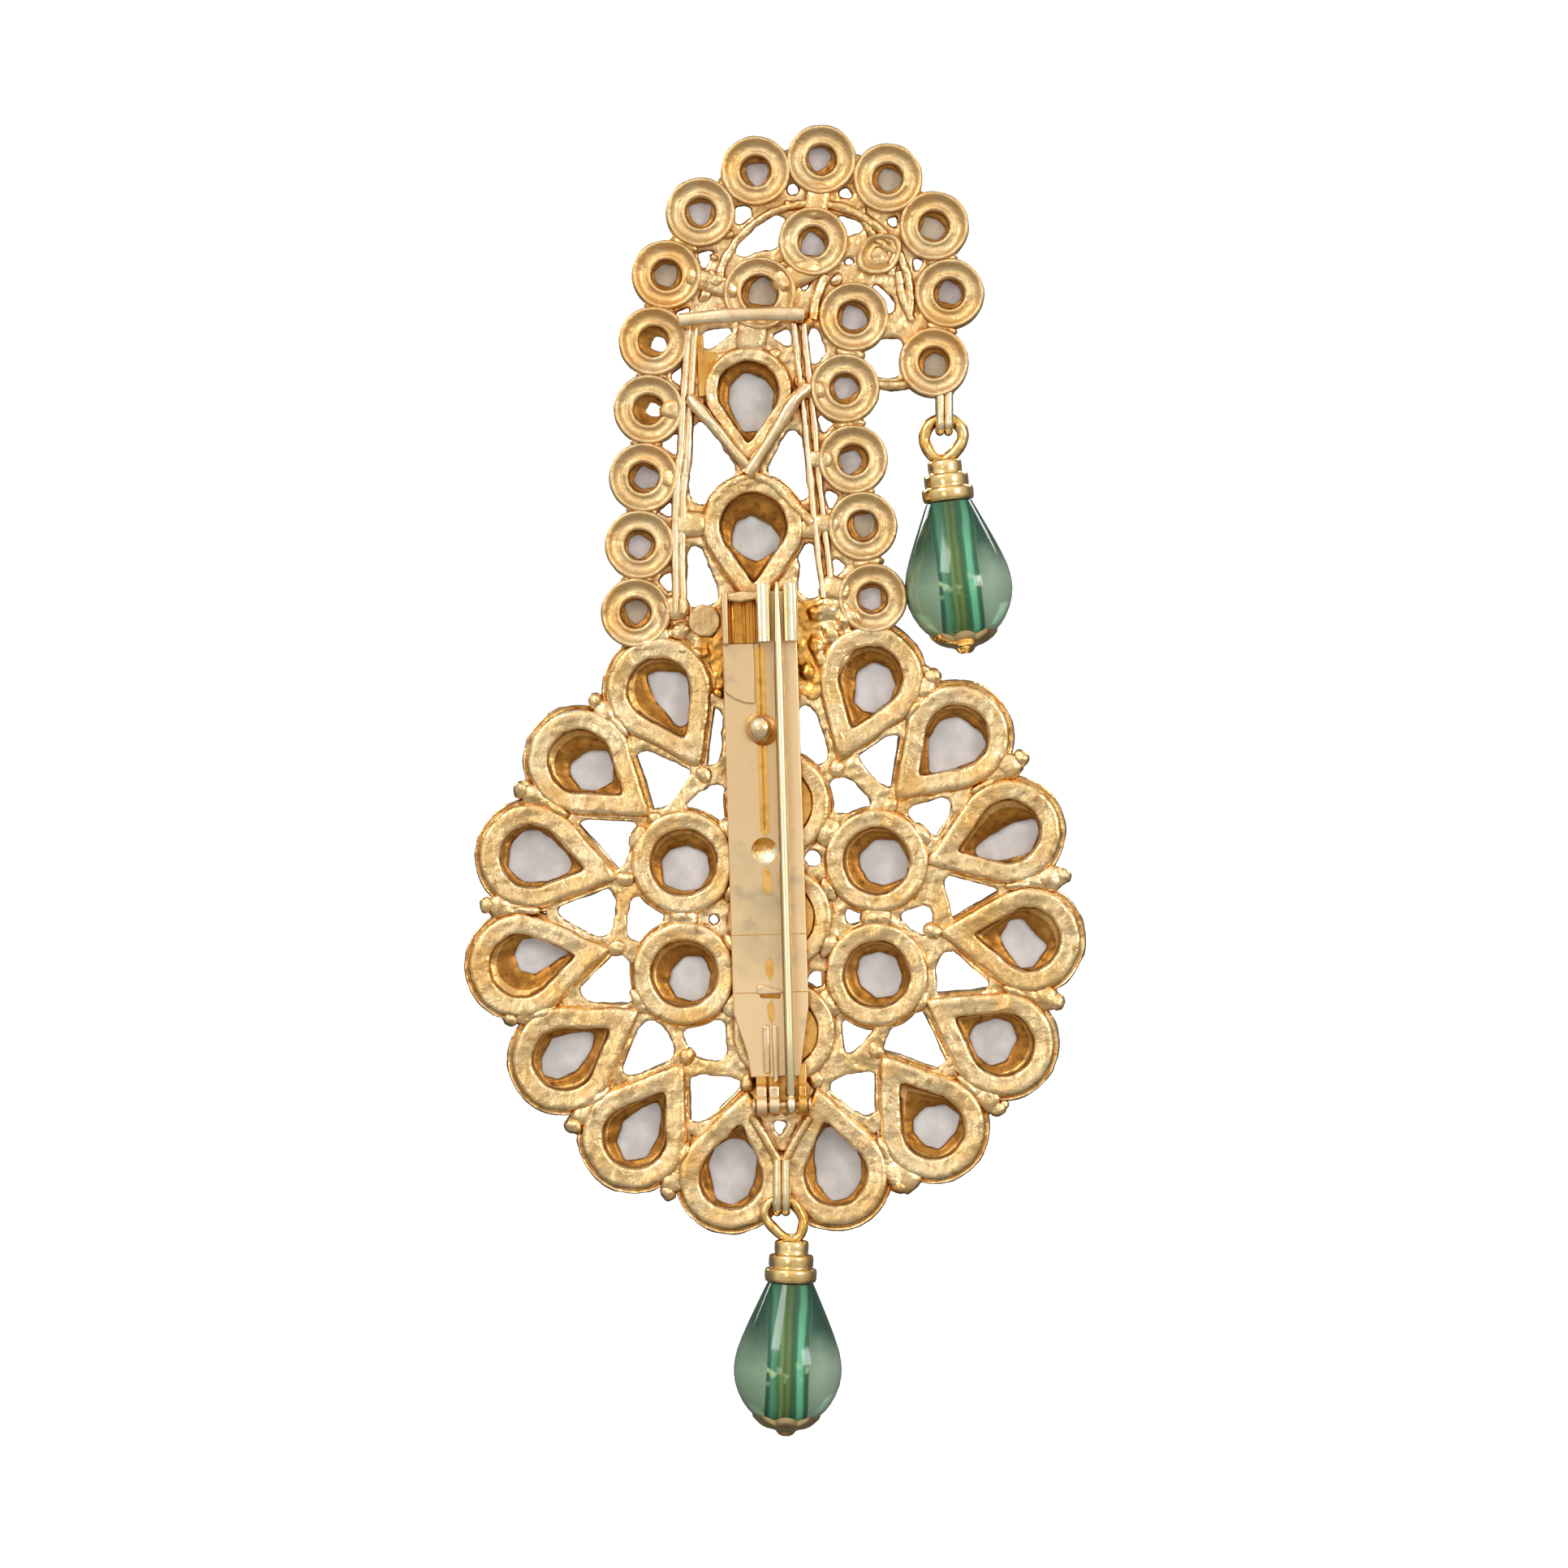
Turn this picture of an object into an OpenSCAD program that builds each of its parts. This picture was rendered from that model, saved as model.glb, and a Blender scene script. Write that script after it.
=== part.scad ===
// Turban ornament: a rosette of pear stones under a curved stem of small round
// stones, seen from its pin side, which faces -Y. X runs to the right in that
// view, Z up, millimetres. The origin is the middle of the needle.

/* [Medallion] */
// Radius of a round collet
round_r = 5.45; // [5.35:0.05:5.5]
// Radius of the opening in the back of a round collet
round_hole_r = 3.3; // [3.0:0.1:3.4]
// Radius of the wire ring on which the pear tips sit
ring_wire_r = 16; // [15.9:0.05:16.1]
// Radius of a pear collet at its round end
pear_r = 5.5; // [5.4:0.05:5.6]
// Radius of the opening in the back of a pear collet
pear_hole_r = 3.1; // [2.9:0.1:3.2]
// Length of a pear collet from its round centre to its tip, in radii
pear_reach = 1.75; // [1.7:0.01:1.78]

/* [Stem] */
// Radius of a small collet of the stem
bead_r = 3.28; // [3.2:0.02:3.3]
// Radius of the opening in the back of a small collet
bead_hole_r = 1.5; // [1.3:0.1:1.6]
// Radius of the round wires of the stem
wire_r = 0.46; // [0.42:0.02:0.5]

/* [Depth] */
// Distance from the needle's line to the back rims of the collets
back_y = 2.4; // [2.4:0.05:2.6]
// Depth of a large collet, back rim to front rim
large_depth = 3.6; // [3.5:0.1:3.9]
// Depth of a small collet
small_depth = 2.8; // [2.7:0.1:3.0]
// Gap between a stone and its seat
seat_gap = 0.1; // [0.1:0.01:0.13]

/* [Pin] */
// Lean of the pin bar and needle from upright, degrees
pin_lean = 1.6; // [1.4:0.1:1.8]
// Needle diameter
needle_d = 1.0; // [0.9:0.05:1.0]
// Distance of the hinge below the middle of the needle
hinge_w = 25.1; // [25:0.05:25.2]
// Width of the slot between the lips of the catch
slot_w = 1.2; // [1.15:0.05:1.3]

/* [Drops] */
// Mean radius of the ring that carries a drop
drop_ring_r = 1.8; // [1.76:0.02:1.84]
// Radius of that ring's wire
drop_wire_r = 0.4; // [0.36:0.02:0.4]
// Length of a drop's bead
bead_len = 13.8; // [13.6:0.1:14]
// Lean of the lower drop as stored, degrees
lower_lean = 1.5; // [1.3:0.1:1.7]
// Lean of the upper drop as stored, degrees
upper_lean = 5.6; // [5.5:0.1:5.7]

/* [Node] */
// Node to draw

/* [Hidden] */
big_fn = 48;
small_fn = 32;
wire_fn = 16;
large_front = back_y + large_depth;
small_front = back_y + small_depth;
pear_back = back_y + 0.03;
pear_front = large_front - 0.05;
ledge_back = back_y + 1.2;
ledge_front = back_y + 1.9;
small_seat_y = back_y + 1.6;
lip_depth = 0.35;
lip_w = 0.35;
wall_w = 0.9;
small_wall = 0.68;
overlap = 0.1;
rim_step = 0.3;
rim_step_depth = 0.45;
set_off = 0.02;
groove_out = 0.85;
groove_in = 1.2;
groove_depth = 0.3;
solder_y = back_y + 0.5;
girdle_below = 0.8;
table_above = 0.8;

// Medallion centre
med = [-0.36, -6.8];
// Round collets: x, z, window shift x, window shift z, window radius
R_X = 0; R_Z = 1; R_WX = 2; R_WZ = 3; R_WR = 4;
rounds = [
    [-0.36, -6.80, 0.00, 0.00, 2.2],
    [-0.56, 4.48, 0.00, 0.00, 2.3],
    [9.12, -1.20, 0.60, 0.08, 2.3],
    [9.12, -12.40, 0.24, -0.08, 2.2],
    [0.00, -18.08, 0.00, 0.00, 2.2],
    [-9.84, -12.32, 0.56, -0.56, 2.0],
    [-9.92, -1.36, 0.08, -0.48, 2.3]];
// Pear collets: polar angle, centre radius, opening reach, window shift x,
// window shift z, window radius
P_A = 0; P_R = 1; P_T = 2; P_WX = 3; P_WZ = 4; P_WR = 5;
pears = [
    [118.0, 25.5, 6.2, 0.64, -0.96, 2.1],
    [142.1, 25.1, 6.0, 0.90, -0.80, 1.9],
    [166.1, 25.3, 4.9, 0.60, 0.00, 2.2],
    [190.5, 26.0, 5.6, 1.20, 0.60, 2.0],
    [213.1, 25.5, 4.9, 0.40, 0.32, 2.2],
    [236.3, 26.0, 5.7, 0.40, 0.16, 2.2],
    [259.2, 26.1, 5.7, 0.08, 0.60, 2.3],
    [282.2, 25.9, 5.6, 0.16, 0.70, 2.3],
    [306.1, 25.6, 5.4, 0.16, 0.08, 2.2],
    [330.3, 25.2, 5.0, -0.60, 0.08, 2.1],
    [355.0, 24.6, 5.0, -0.32, -0.32, 2.2],
    [20.6, 24.1, 5.1, -0.50, -0.40, 2.2],
    [45.7, 25.0, 5.3, 0.00, -0.60, 2.4],
    [69.4, 25.3, 6.1, 0.30, -0.70, 2.2]];
// Stem pears: x, z, opening radius, opening reach, outer radius, outer reach,
// window shift x, window shift z, window radius
S_X = 0; S_Z = 1; S_HR = 2; S_HT = 3; S_OR = 4; S_OT = 5; S_WX = 6; S_WZ = 7; S_WR = 8;
stem_pears = [
    [-3.52, 45.12, 3.04, 5.8, 4.56, 7.8, 0.30, -0.90, 2.1],
    [-3.04, 31.84, 3.28, 5.8, 5.28, 9.2, 0.24, -0.90, 2.1]];
// Small collets: x, z, outer radius growth, opening growth; the outer chain
// from the left foot over the arch, then the inner chain from the right foot
B_X = 0; B_Z = 1; B_DR = 2; B_DH = 3;
beads = [
    [-14.64, 23.28, 0, 0], [-14.24, 30.00, 0, 0], [-13.84, 36.64, 0, 0],
    [-13.36, 43.36, 0, 0], [-12.88, 50.08, 0, 0], [-11.60, 56.64, 0, 0],
    [-8.24, 62.80, 0, 0], [-2.80, 66.88, 0, 0], [3.68, 68.00, 0, 0],
    [10.24, 66.16, 0, 0], [14.80, 61.44, 0, 0], [16.32, 54.80, 0, 0],
    [14.80, 48.00, 0, 0],
    [8.72, 24.72, 0, 0], [7.76, 31.84, 0, 0], [6.80, 38.40, 0, 0],
    [6.00, 45.44, 0, 0], [6.88, 52.48, 0, 0.1],
    [2.88, 59.92, 0, 0], [-2.40, 54.80, 0.16, 0.3]];
outer_chain = [0, 12];
inner_chain = [13, 17];
// Solder necks between places of the stem: from x, z to x, z, width
N_FX = 0; N_FZ = 1; N_TX = 2; N_TZ = 3; N_W = 4;
necks = [
    [2.88, 57.3, -0.3, 56.0, 1.9],
    [3.1, 62.8, 3.5, 65.1, 2.0],
    [-5.3, 55.2, -8.9, 56.4, 1.6],
    [-2.9, 52.2, -3.3, 49.4, 2.6],
    [-3.4, 38.0, -3.3, 36.7, 3.2],
    [-11.5, 36.6, -9.9, 36.6, 1.6],
    [-11.6, 43.4, -9.7, 43.2, 1.6],
    [-11.3, 30.0, -10.1, 30.0, 1.6],
    [-11.8, 23.6, -10.0, 24.0, 2.0],
    [4.9, 31.9, 3.3, 32.2, 1.7],
    [4.2, 38.4, 2.7, 38.5, 1.6],
    [3.5, 45.3, 2.2, 45.2, 1.6],
    [5.9, 25.3, 4.2, 25.9, 2.0],
    [-10.4, 32.0, -8.0, 32.1, 2.2],
    [3.3, 31.6, 1.8, 31.7, 1.8]];
// Side wires of the stem: x, z of their bends from the top down
side_wires = [
    [[-9.12, 51.68], [-9.68, 42.08], [-10.40, 32.48], [-10.24, 23.28]],
    [[1.52, 51.28], [2.48, 42.08], [3.28, 34.08], [4.32, 24.88]]];
strip_w = 0.7;
side_wire_gap = 0.4;
// Thin wires and webs: from x, z to x, z
W_FX = 0; W_FZ = 1; W_TX = 2; W_TZ = 3;
thin_wires = [
    [-9.50, 44.40, -3.28, 37.28], [2.10, 45.60, -3.28, 37.28],
    [4.10, 56.60, 2.72, 52.08], [2.72, 52.08, 1.52, 51.28],
    [7.70, 63.20, 8.48, 60.88], [8.48, 60.88, 11.12, 58.88],
    [11.12, 58.88, 10.56, 56.64], [5.90, 60.32, 8.16, 60.72],
    [7.92, 49.12, 9.92, 50.72], [9.70, 50.62, 13.10, 50.35],
    [7.40, 54.90, 8.90, 57.20]];
rod_from = [8.6, 45.92];
rod_to = [12.6, 45.92];
rod_r = 0.6;
arch = [2.72, 54.08];
arch_wire_r = 10.35;
arch_from = -9;
arch_to = 168;
leaf = [9.4, 58.7];
leaf_turn = 35;
leaf_arc_r = 3.1;
leaf_arc_off = 1.25;
leaf_hole_r = 1.1;
leaf_stone_r = 1.35;
star = [-6.72, 56.08];
star_r = 1.1;
foot_disc = [-7.84, 22.48];
foot_disc_r = 1.6;

// Granules in the notches between the pears: x, z
G_X = 0; G_Z = 1;
granules = [
    [-18.56, 14.64], [-26.00, 5.84], [-29.44, -5.52], [-27.04, -16.72],
    [-20.80, -27.36], [-11.44, -34.08], [11.52, -33.28], [21.28, -25.76],
    [27.12, -15.12], [27.68, -2.72], [23.52, 8.96], [14.72, 17.04]];
granule_r = 0.9;
granule_web = 2.6;

// Junction plate between stem and medallion, x and z of its corners
junction = [
    [-6.6, 24.0], [3.9, 24.6], [5.0, 22.9], [5.1, 20.9], [6.4, 19.7],
    [3.4, 15.7], [1.9, 15.0], [-0.1, 12.9], [-0.1, 9.3], [-4.1, 9.3],
    [-4.9, 12.9], [-6.6, 15.0], [-7.1, 19.7]];
junction_depth = 1.6;

// Pin bar corners in its own upright frame, across and up
bar = [
    [-5.5, 25.4], [1.85, 25.4], [1.9, 14.0], [2.0, -17.1], [1.5, -22.4],
    [-3.9, -22.4], [-5.5, -17.1]];
bar_back = 1.5;
bar_t = 0.8;
bar_rivet = [-2.0, 11.96];
bar_rivet_r = 0.6;
bar_rivet_head_r = 1.5;
lip_back = -1.0;
lip_low = 20.4;
lip_high = 26.2;
lip_block_w = 1.35;
// Knuckles of the hinge on the bar: from, to across
K_F = 0; K_T = 1;
knuckles = [[-3.4, -2.45], [-2.05, -1.15], [0.75, 1.6]];
knuckle_r = 1.0;
needle_knuckle = 0.5;
hinge_pin_r = 0.35;
hinge_gap = 0.08;
needle_len = 51.4;
point_len = 9;

// Drops
eye_r = 0.7;
strap_t = 0.5;
strap_half = 0.8;
axis_up = 1.718;
lower_ring = [-0.24, -36.16];
lower_y = 1.3;
upper_ring = [15.84, 40.72];
upper_y = 4.0;
pin_r = 0.35;
drill_r = 0.5;
bead_top = 6.5;
// Half section of a bead: share of its length, radius
bead_section = [
    [0.00, 2.16], [0.15, 2.96], [0.32, 3.96], [0.48, 4.85], [0.61, 5.2],
    [0.70, 5.1], [0.79, 4.65], [0.88, 3.95], [0.95, 3.1], [1.00, 2.4]];
// Collars of the top cap: start below the ring centre, radius
C_S = 0; C_R = 1;
collars = [[2.3, 1.6], [3.7, 2.12], [5.05, 2.52]];
cap_end = 6.4;
petals = 8;

// A solid from y0 to y1 over a flat shape in X and Z
module slab(y0, y1) {
    translate([0, y1, 0]) rotate([90, 0, 0]) linear_extrude(height = y1 - y0)
        children();
}

// A disc or hole along Y
module disc(x, z, r, y0, y1, fn = big_fn) {
    translate([x, y0, z]) rotate([-90, 0, 0]) cylinder(r = r, h = y1 - y0, $fn = fn);
}

// Turns a flat shape's +X to the angle a in the X and Z plane
module turned(x, z, a) {
    translate([x, 0, z]) rotate([0, -a, 0]) children();
}

// Pear shape, round centre at the origin, tip on +X at the reach t
module pear2d(r, t) {
    s = acos(r / t);
    in_r = r * 0.985;
    circle(r = r, $fn = big_fn);
    polygon([[in_r * cos(s), -in_r * sin(s)], [t, 0], [in_r * cos(s), in_r * sin(s)],
             [-0.3 * r, 0]]);
}

// Corner points of a pear stone's outline
function pear_points(r, t, n) = let (s = acos(r / t)) concat(
    [[t, 0]],
    [for (i = [0:n - 2]) let (a = s + (360 - 2 * s) * i / (n - 2)) [r * cos(a), r * sin(a)]]);

function round_points(r, n) = [for (i = [0:n - 1]) [r * cos(360 * i / n), r * sin(360 * i / n)]];

// A cut stone: flat back, girdle, then a crown of facets up to its table
module cut_stone(points, y_back, y_girdle, y_table, table) {
    n = len(points);
    level_y = [y_back, y_girdle, y_table];
    level_s = [1, 1, table];
    polyhedron(
        points = [for (k = [0:2]) for (p = points)
            [p[0] * level_s[k], level_y[k], p[1] * level_s[k]]],
        faces = concat(
            [[for (i = [n - 1:-1:0]) i]],
            [[for (i = [0:n - 1]) 2 * n + i]],
            [for (k = [0:1]) for (i = [0:n - 1])
                [k * n + i, k * n + (i + 1) % n, (k + 1) * n + (i + 1) % n, (k + 1) * n + i]]));
}

// A round wire between two points
module rod(p, q, r) {
    d = q - p;
    translate(p) rotate([0, atan2(norm([d[0], d[1]]), d[2]), atan2(d[1], d[0])])
        cylinder(r = r, h = norm(d), $fn = wire_fn);
}

// Corners of an upright strip w wide along a run of places, shifted sideways
function strip_points(run, shift, w) = concat(
    [for (p = run) p + [shift - w / 2, 0]],
    [for (i = [len(run) - 1:-1:0]) run[i] + [shift + w / 2, 0]]);

// A solder neck from one place to the next, w wide
module neck(f, t, w, y0, y1) {
    d = t - f;
    turned(f[0], f[1], atan2(d[1], d[0]))
        translate([0, y0, -w / 2]) cube([norm(d), y1 - y0, w]);
}

// Neck between two collets, its ends inside their walls
module collet_neck(a, b, inset, w, y0, y1) {
    u = (b - a) / norm(b - a);
    neck(a + u * inset, b - u * inset, w, y0, y1);
}

function pear_centre(i) =
    med + pears[i][P_R] * [cos(pears[i][P_A]), sin(pears[i][P_A])];
function bead_place(i) = [beads[i][B_X], beads[i][B_Z]];

// Body of a pear collet, stepped at the back rim and set a hair in by set
module pear_body(r, t, set = 0) {
    slab(back_y + rim_step_depth - overlap + set, pear_front - set) pear2d(r, t);
    slab(pear_back + set, back_y + rim_step_depth + set)
        pear2d(r - rim_step, t * (r - rim_step) / r);
}

// Openings of a pear collet: back hole, window and front seat
module pear_cuts(r, t, hr, ht, wx, wz, wr, a) {
    k = t / r;
    slab(back_y - 1, ledge_back) pear2d(hr, ht);
    rotate([0, a, 0]) disc(wx, wz, wr, ledge_back - overlap, ledge_front + overlap, small_fn);
    slab(ledge_front, pear_front - lip_depth) pear2d(r - wall_w, k * (r - wall_w));
    slab(pear_front - lip_depth - overlap, large_front + 1)
        pear2d(r - wall_w - lip_w, k * (r - wall_w - lip_w));
}

module round_body(r, front) {
    rotate([-90, 0, 0]) rotate_extrude($fn = big_fn) polygon([
        [0, back_y], [r - rim_step, back_y], [r, back_y + rim_step], [r, front - rim_step],
        [r - rim_step, front], [0, front]]);
}

module ring_groove(r) {
    rotate([-90, 0, 0]) rotate_extrude($fn = big_fn) polygon([
        [r - groove_in, back_y - 1], [r - groove_out, back_y - 1],
        [r - groove_out, back_y + groove_depth], [r - groove_in, back_y + groove_depth]]);
}

module round_cuts(wx, wz, wr) {
    disc(0, 0, round_hole_r, back_y - 1, ledge_back);
    disc(wx, wz, wr, ledge_back - overlap, ledge_front + overlap, small_fn);
    disc(0, 0, round_r - wall_w, ledge_front, large_front - lip_depth);
    disc(0, 0, round_r - wall_w - lip_w, large_front - lip_depth - overlap, large_front + 1);
    ring_groove(round_r);
}

module bead_cuts(i) {
    disc(0, 0, bead_hole_r + beads[i][B_DH], back_y - 1, small_seat_y + overlap, small_fn);
    disc(0, 0, bead_r - small_wall, small_seat_y, small_front + 1, small_fn);
    ring_groove(bead_r + 0.1);
}

module leaf_shape(r, off, y0, y1) {
    intersection() {
        disc(-off, 0, r, y0, y1, small_fn);
        disc(off, 0, r, y0, y1, small_fn);
    }
}

// Bail strap: a U round the drop's axis, closed at its top
module bail(x, y, z, top) {
    difference() {
        union() {
            translate([x - strap_half, y, z]) rotate([0, 90, 0])
                cylinder(r = eye_r + strap_t, h = 2 * strap_half, $fn = small_fn);
            translate([x - strap_half, y - eye_r - strap_t, z])
                cube([2 * strap_half, 2 * (eye_r + strap_t), top - z]);
        }
        translate([x - strap_half - 1, y, z]) rotate([0, 90, 0])
            cylinder(r = eye_r, h = 2 * strap_half + 2, $fn = small_fn);
        translate([x - strap_half - 1, y - eye_r, z])
            cube([2 * strap_half + 2, 2 * eye_r, 1.0]);
    }
}

module medallion_bodies() {
    for (r = rounds) translate([r[R_X], 0, r[R_Z]]) round_body(round_r, large_front);
    for (i = [1:6]) {
        a = [rounds[i][R_X], rounds[i][R_Z]];
        b = [rounds[i % 6 + 1][R_X], rounds[i % 6 + 1][R_Z]];
        collet_neck(a, b, round_r - wall_w / 2, 2.2, solder_y, large_front - 0.6);
        collet_neck(med, a, round_r - wall_w / 2, 2.0, solder_y, large_front - 0.6);
    }
    for (i = [0:len(pears) - 1]) {
        c = pear_centre(i);
        turned(c[0], c[1], pears[i][P_A] + 180)
            pear_body(pear_r, pear_r * pear_reach, i % 2 * set_off);
    }
    translate([med[0], back_y + 1, med[1]]) rotate([-90, 0, 0])
        rotate_extrude($fn = big_fn * 2) translate([ring_wire_r, 0])
            circle(r = wire_r, $fn = wire_fn);
    for (g = granules) {
        u = (med - g) / norm(med - g);
        translate([g[G_X], back_y + 0.8, g[G_Z]]) sphere(r = granule_r, $fn = small_fn);
        rod([g[G_X], back_y + 0.9, g[G_Z]],
            [g[G_X] + u[0] * granule_web, back_y + 0.9, g[G_Z] + u[1] * granule_web], wire_r);
    }
}

module medallion_cuts() {
    for (r = rounds) translate([r[R_X], 0, r[R_Z]]) round_cuts(r[R_WX], r[R_WZ], r[R_WR]);
    for (i = [0:len(pears) - 1]) {
        p = pears[i];
        c = pear_centre(i);
        turned(c[0], c[1], p[P_A] + 180)
            pear_cuts(pear_r, pear_r * pear_reach, pear_hole_r, p[P_T],
                      p[P_WX], p[P_WZ], p[P_WR], p[P_A] + 180);
    }
}

module stem_bodies() {
    for (b = beads) translate([b[B_X], 0, b[B_Z]]) round_body(bead_r + b[B_DR], small_front);
    for (run = [outer_chain, inner_chain]) for (i = [run[0]:run[1] - 1])
        collet_neck(bead_place(i), bead_place(i + 1), bead_r - small_wall / 2, 2.2,
                    solder_y, small_front - 0.5);
    for (n = necks) neck([n[N_FX], n[N_FZ]], [n[N_TX], n[N_TZ]], n[N_W],
                         solder_y, small_front - 0.6);
    for (s = stem_pears) turned(s[S_X], s[S_Z], -90) pear_body(s[S_OR], s[S_OT]);
    for (run = side_wires) for (side = [-1, 1]) slab(back_y + 0.45, back_y + 1.35)
        polygon(strip_points(run, side * side_wire_gap, strip_w));
    for (w = thin_wires)
        neck([w[W_FX], w[W_FZ]], [w[W_TX], w[W_TZ]], 2 * wire_r, back_y + 0.4, back_y + 1.3);
    rod([rod_from[0], back_y + 0.8, rod_from[1]], [rod_to[0], back_y + 0.8, rod_to[1]], rod_r);
    translate([arch[0], back_y + 1, arch[1]]) rotate([90, 0, 0]) rotate([0, 0, arch_from])
        rotate_extrude(angle = arch_to - arch_from, $fn = big_fn * 2)
            translate([arch_wire_r, 0]) circle(r = wire_r, $fn = wire_fn);
    turned(leaf[0], leaf[1], leaf_turn)
        leaf_shape(leaf_arc_r, leaf_arc_off, back_y, small_front);
    translate([star[0], back_y + 0.9, star[1]]) sphere(r = star_r, $fn = small_fn);
    disc(foot_disc[0], foot_disc[1], foot_disc_r, back_y + 0.3, small_front - 0.4, small_fn);
    slab(back_y + 0.5, back_y + 0.5 + junction_depth) polygon(junction);
}

module stem_cuts() {
    for (i = [0:len(beads) - 1]) translate([beads[i][B_X], 0, beads[i][B_Z]]) bead_cuts(i);
    for (s = stem_pears) turned(s[S_X], s[S_Z], -90)
        pear_cuts(s[S_OR], s[S_OT], s[S_HR], s[S_HT], s[S_WX], s[S_WZ], s[S_WR], -90);
    turned(leaf[0], leaf[1], leaf_turn) {
        disc(0, 0, leaf_hole_r, back_y - 1, small_seat_y + overlap, small_fn);
        disc(0, 0, leaf_stone_r, small_seat_y, small_front + 1, small_fn);
    }
}

// Strap behind the stem that takes a feather
module feather_loop() {
    turned(-10.24, 51.9, 2.8) {
        translate([0, -0.6, -0.7]) cube([12.2, 0.8, 1.4]);
        translate([0, -0.6, -0.7]) cube([0.8, back_y + 1.8, 1.4]);
        translate([11.4, -0.6, -0.7]) cube([0.8, back_y + 1.8, 1.4]);
    }
}

module lower_bail() {
    bail(lower_ring[0], lower_y, lower_ring[1] + axis_up, -30.3);
    for (side = [-1, 1])
        rod([-0.3 + side * 2.65, back_y, -26.5], [-0.3, back_y, -30.6], 0.6);
}

module frame() {
    color("gold") difference() {
        union() {
            medallion_bodies();
            stem_bodies();
            feather_loop();
            lower_bail();
            bail(upper_ring[0], upper_y, upper_ring[1] + axis_up, 45.3);
        }
        medallion_cuts();
        stem_cuts();
        rotate([0, -pin_lean, 0])
            disc(bar_rivet[0], bar_rivet[1], bar_rivet_r + hinge_gap, 0, large_front, small_fn);
    }
}

module pin_bar() {
    color("goldenrod") rotate([0, -pin_lean, 0]) {
        difference() {
            union() {
                slab(bar_back, bar_back + bar_t) polygon(bar);
                translate([-5.5, lip_back + 0.3, 20.2]) cube([0.8, bar_back - lip_back, 5.2]);
                translate([-5.0, lip_back + 0.3, 24.4]) cube([3.2, bar_back - lip_back, 1.0]);
                for (side = [-1, 1])
                    translate([side > 0 ? slot_w / 2 : -slot_w / 2 - lip_block_w, lip_back,
                               lip_low])
                        cube([lip_block_w, bar_back - lip_back + 0.2, lip_high - lip_low]);
                translate([-1.9, bar_back - 0.4, -22.6]) cube([1.2, 0.6, 5.6]);
                for (k = knuckles) {
                    translate([k[K_F], 0, -hinge_w]) rotate([0, 90, 0])
                        cylinder(r = knuckle_r, h = k[K_T] - k[K_F], $fn = small_fn);
                    translate([k[K_F], 0, -hinge_w - 0.9])
                        cube([k[K_T] - k[K_F], bar_back + bar_t, 1.8]);
                    translate([k[K_F], bar_back, -hinge_w])
                        cube([k[K_T] - k[K_F], bar_t, 4]);
                }
                disc(bar_rivet[0], bar_rivet[1], bar_rivet_r, bar_back + 0.2,
                     back_y + 2.6, small_fn);
                difference() {
                    translate([bar_rivet[0], bar_back + 0.1, bar_rivet[1]])
                        sphere(r = bar_rivet_head_r, $fn = small_fn);
                    translate([bar_rivet[0] - 3, bar_back + bar_t / 2, bar_rivet[1] - 3])
                        cube([6, 6, 6]);
                }
            }
            translate([-2.05, bar_back - 1, -17]) cube([0.45, 1.25, 26]);
            disc(-1.93, -0.25, 1.3, bar_back - 1, bar_back + 0.35, small_fn);
            for (w = [-8.5, -14.2]) translate([-5.6, bar_back - 1, w]) cube([7.8, 1.15, 0.3]);
            translate([-4, 0, -hinge_w]) rotate([0, 90, 0])
                cylinder(r = hinge_pin_r + hinge_gap, h = 6.2, $fn = small_fn);
        }
    }
}

module hinge_rivet() {
    color("darkgoldenrod") rotate([0, -pin_lean, 0]) {
        first = knuckles[0][K_F] - hinge_gap;
        last = knuckles[2][K_T] + hinge_gap;
        translate([first - 0.3, 0, -hinge_w]) rotate([0, 90, 0]) {
            cylinder(r = hinge_pin_r, h = last - first + 0.6, $fn = small_fn);
            cylinder(r = hinge_pin_r * 2, h = 0.3, $fn = small_fn);
            translate([0, 0, last - first + 0.3])
                cylinder(r = hinge_pin_r * 2, h = 0.3, $fn = small_fn);
        }
    }
}

module needle() {
    color("khaki") rotate([0, -pin_lean, 0]) difference() {
        union() {
            translate([-needle_knuckle, 0, -hinge_w]) rotate([0, 90, 0])
                cylinder(r = knuckle_r, h = 2 * needle_knuckle, $fn = small_fn);
            translate([0, 0, -hinge_w + 0.6])
                cylinder(d = needle_d, h = needle_len - point_len - 0.6, $fn = small_fn);
            translate([0, 0, -hinge_w + needle_len - point_len - 0.01])
                cylinder(d1 = needle_d, d2 = 0.3, h = point_len, $fn = small_fn);
        }
        translate([-1, 0, -hinge_w]) rotate([0, 90, 0])
            cylinder(r = hinge_pin_r + hinge_gap, h = 2, $fn = small_fn);
    }
}

module pear_stone(i) {
    c = pear_centre(i);
    r = pear_r - wall_w - seat_gap;
    color("thistle") turned(c[0], c[1], pears[i][P_A] + 180)
        cut_stone(pear_points(r, r * pear_reach, 20), ledge_front + seat_gap,
                  large_front - girdle_below, large_front + table_above, 0.6);
}

module round_stone(i) {
    color("thistle") translate([rounds[i][R_X], 0, rounds[i][R_Z]])
        cut_stone(round_points(round_r - wall_w - seat_gap, 16), ledge_front + seat_gap,
                  large_front - girdle_below, large_front + table_above, 0.62);
}

module stem_pear_stone(i) {
    s = stem_pears[i];
    k = s[S_OT] / s[S_OR];
    r = s[S_OR] - wall_w - seat_gap;
    color("thistle") turned(s[S_X], s[S_Z], -90)
        cut_stone(pear_points(r, r * k, 20), ledge_front + seat_gap,
                  large_front - girdle_below, large_front + table_above, 0.6);
}

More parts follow.
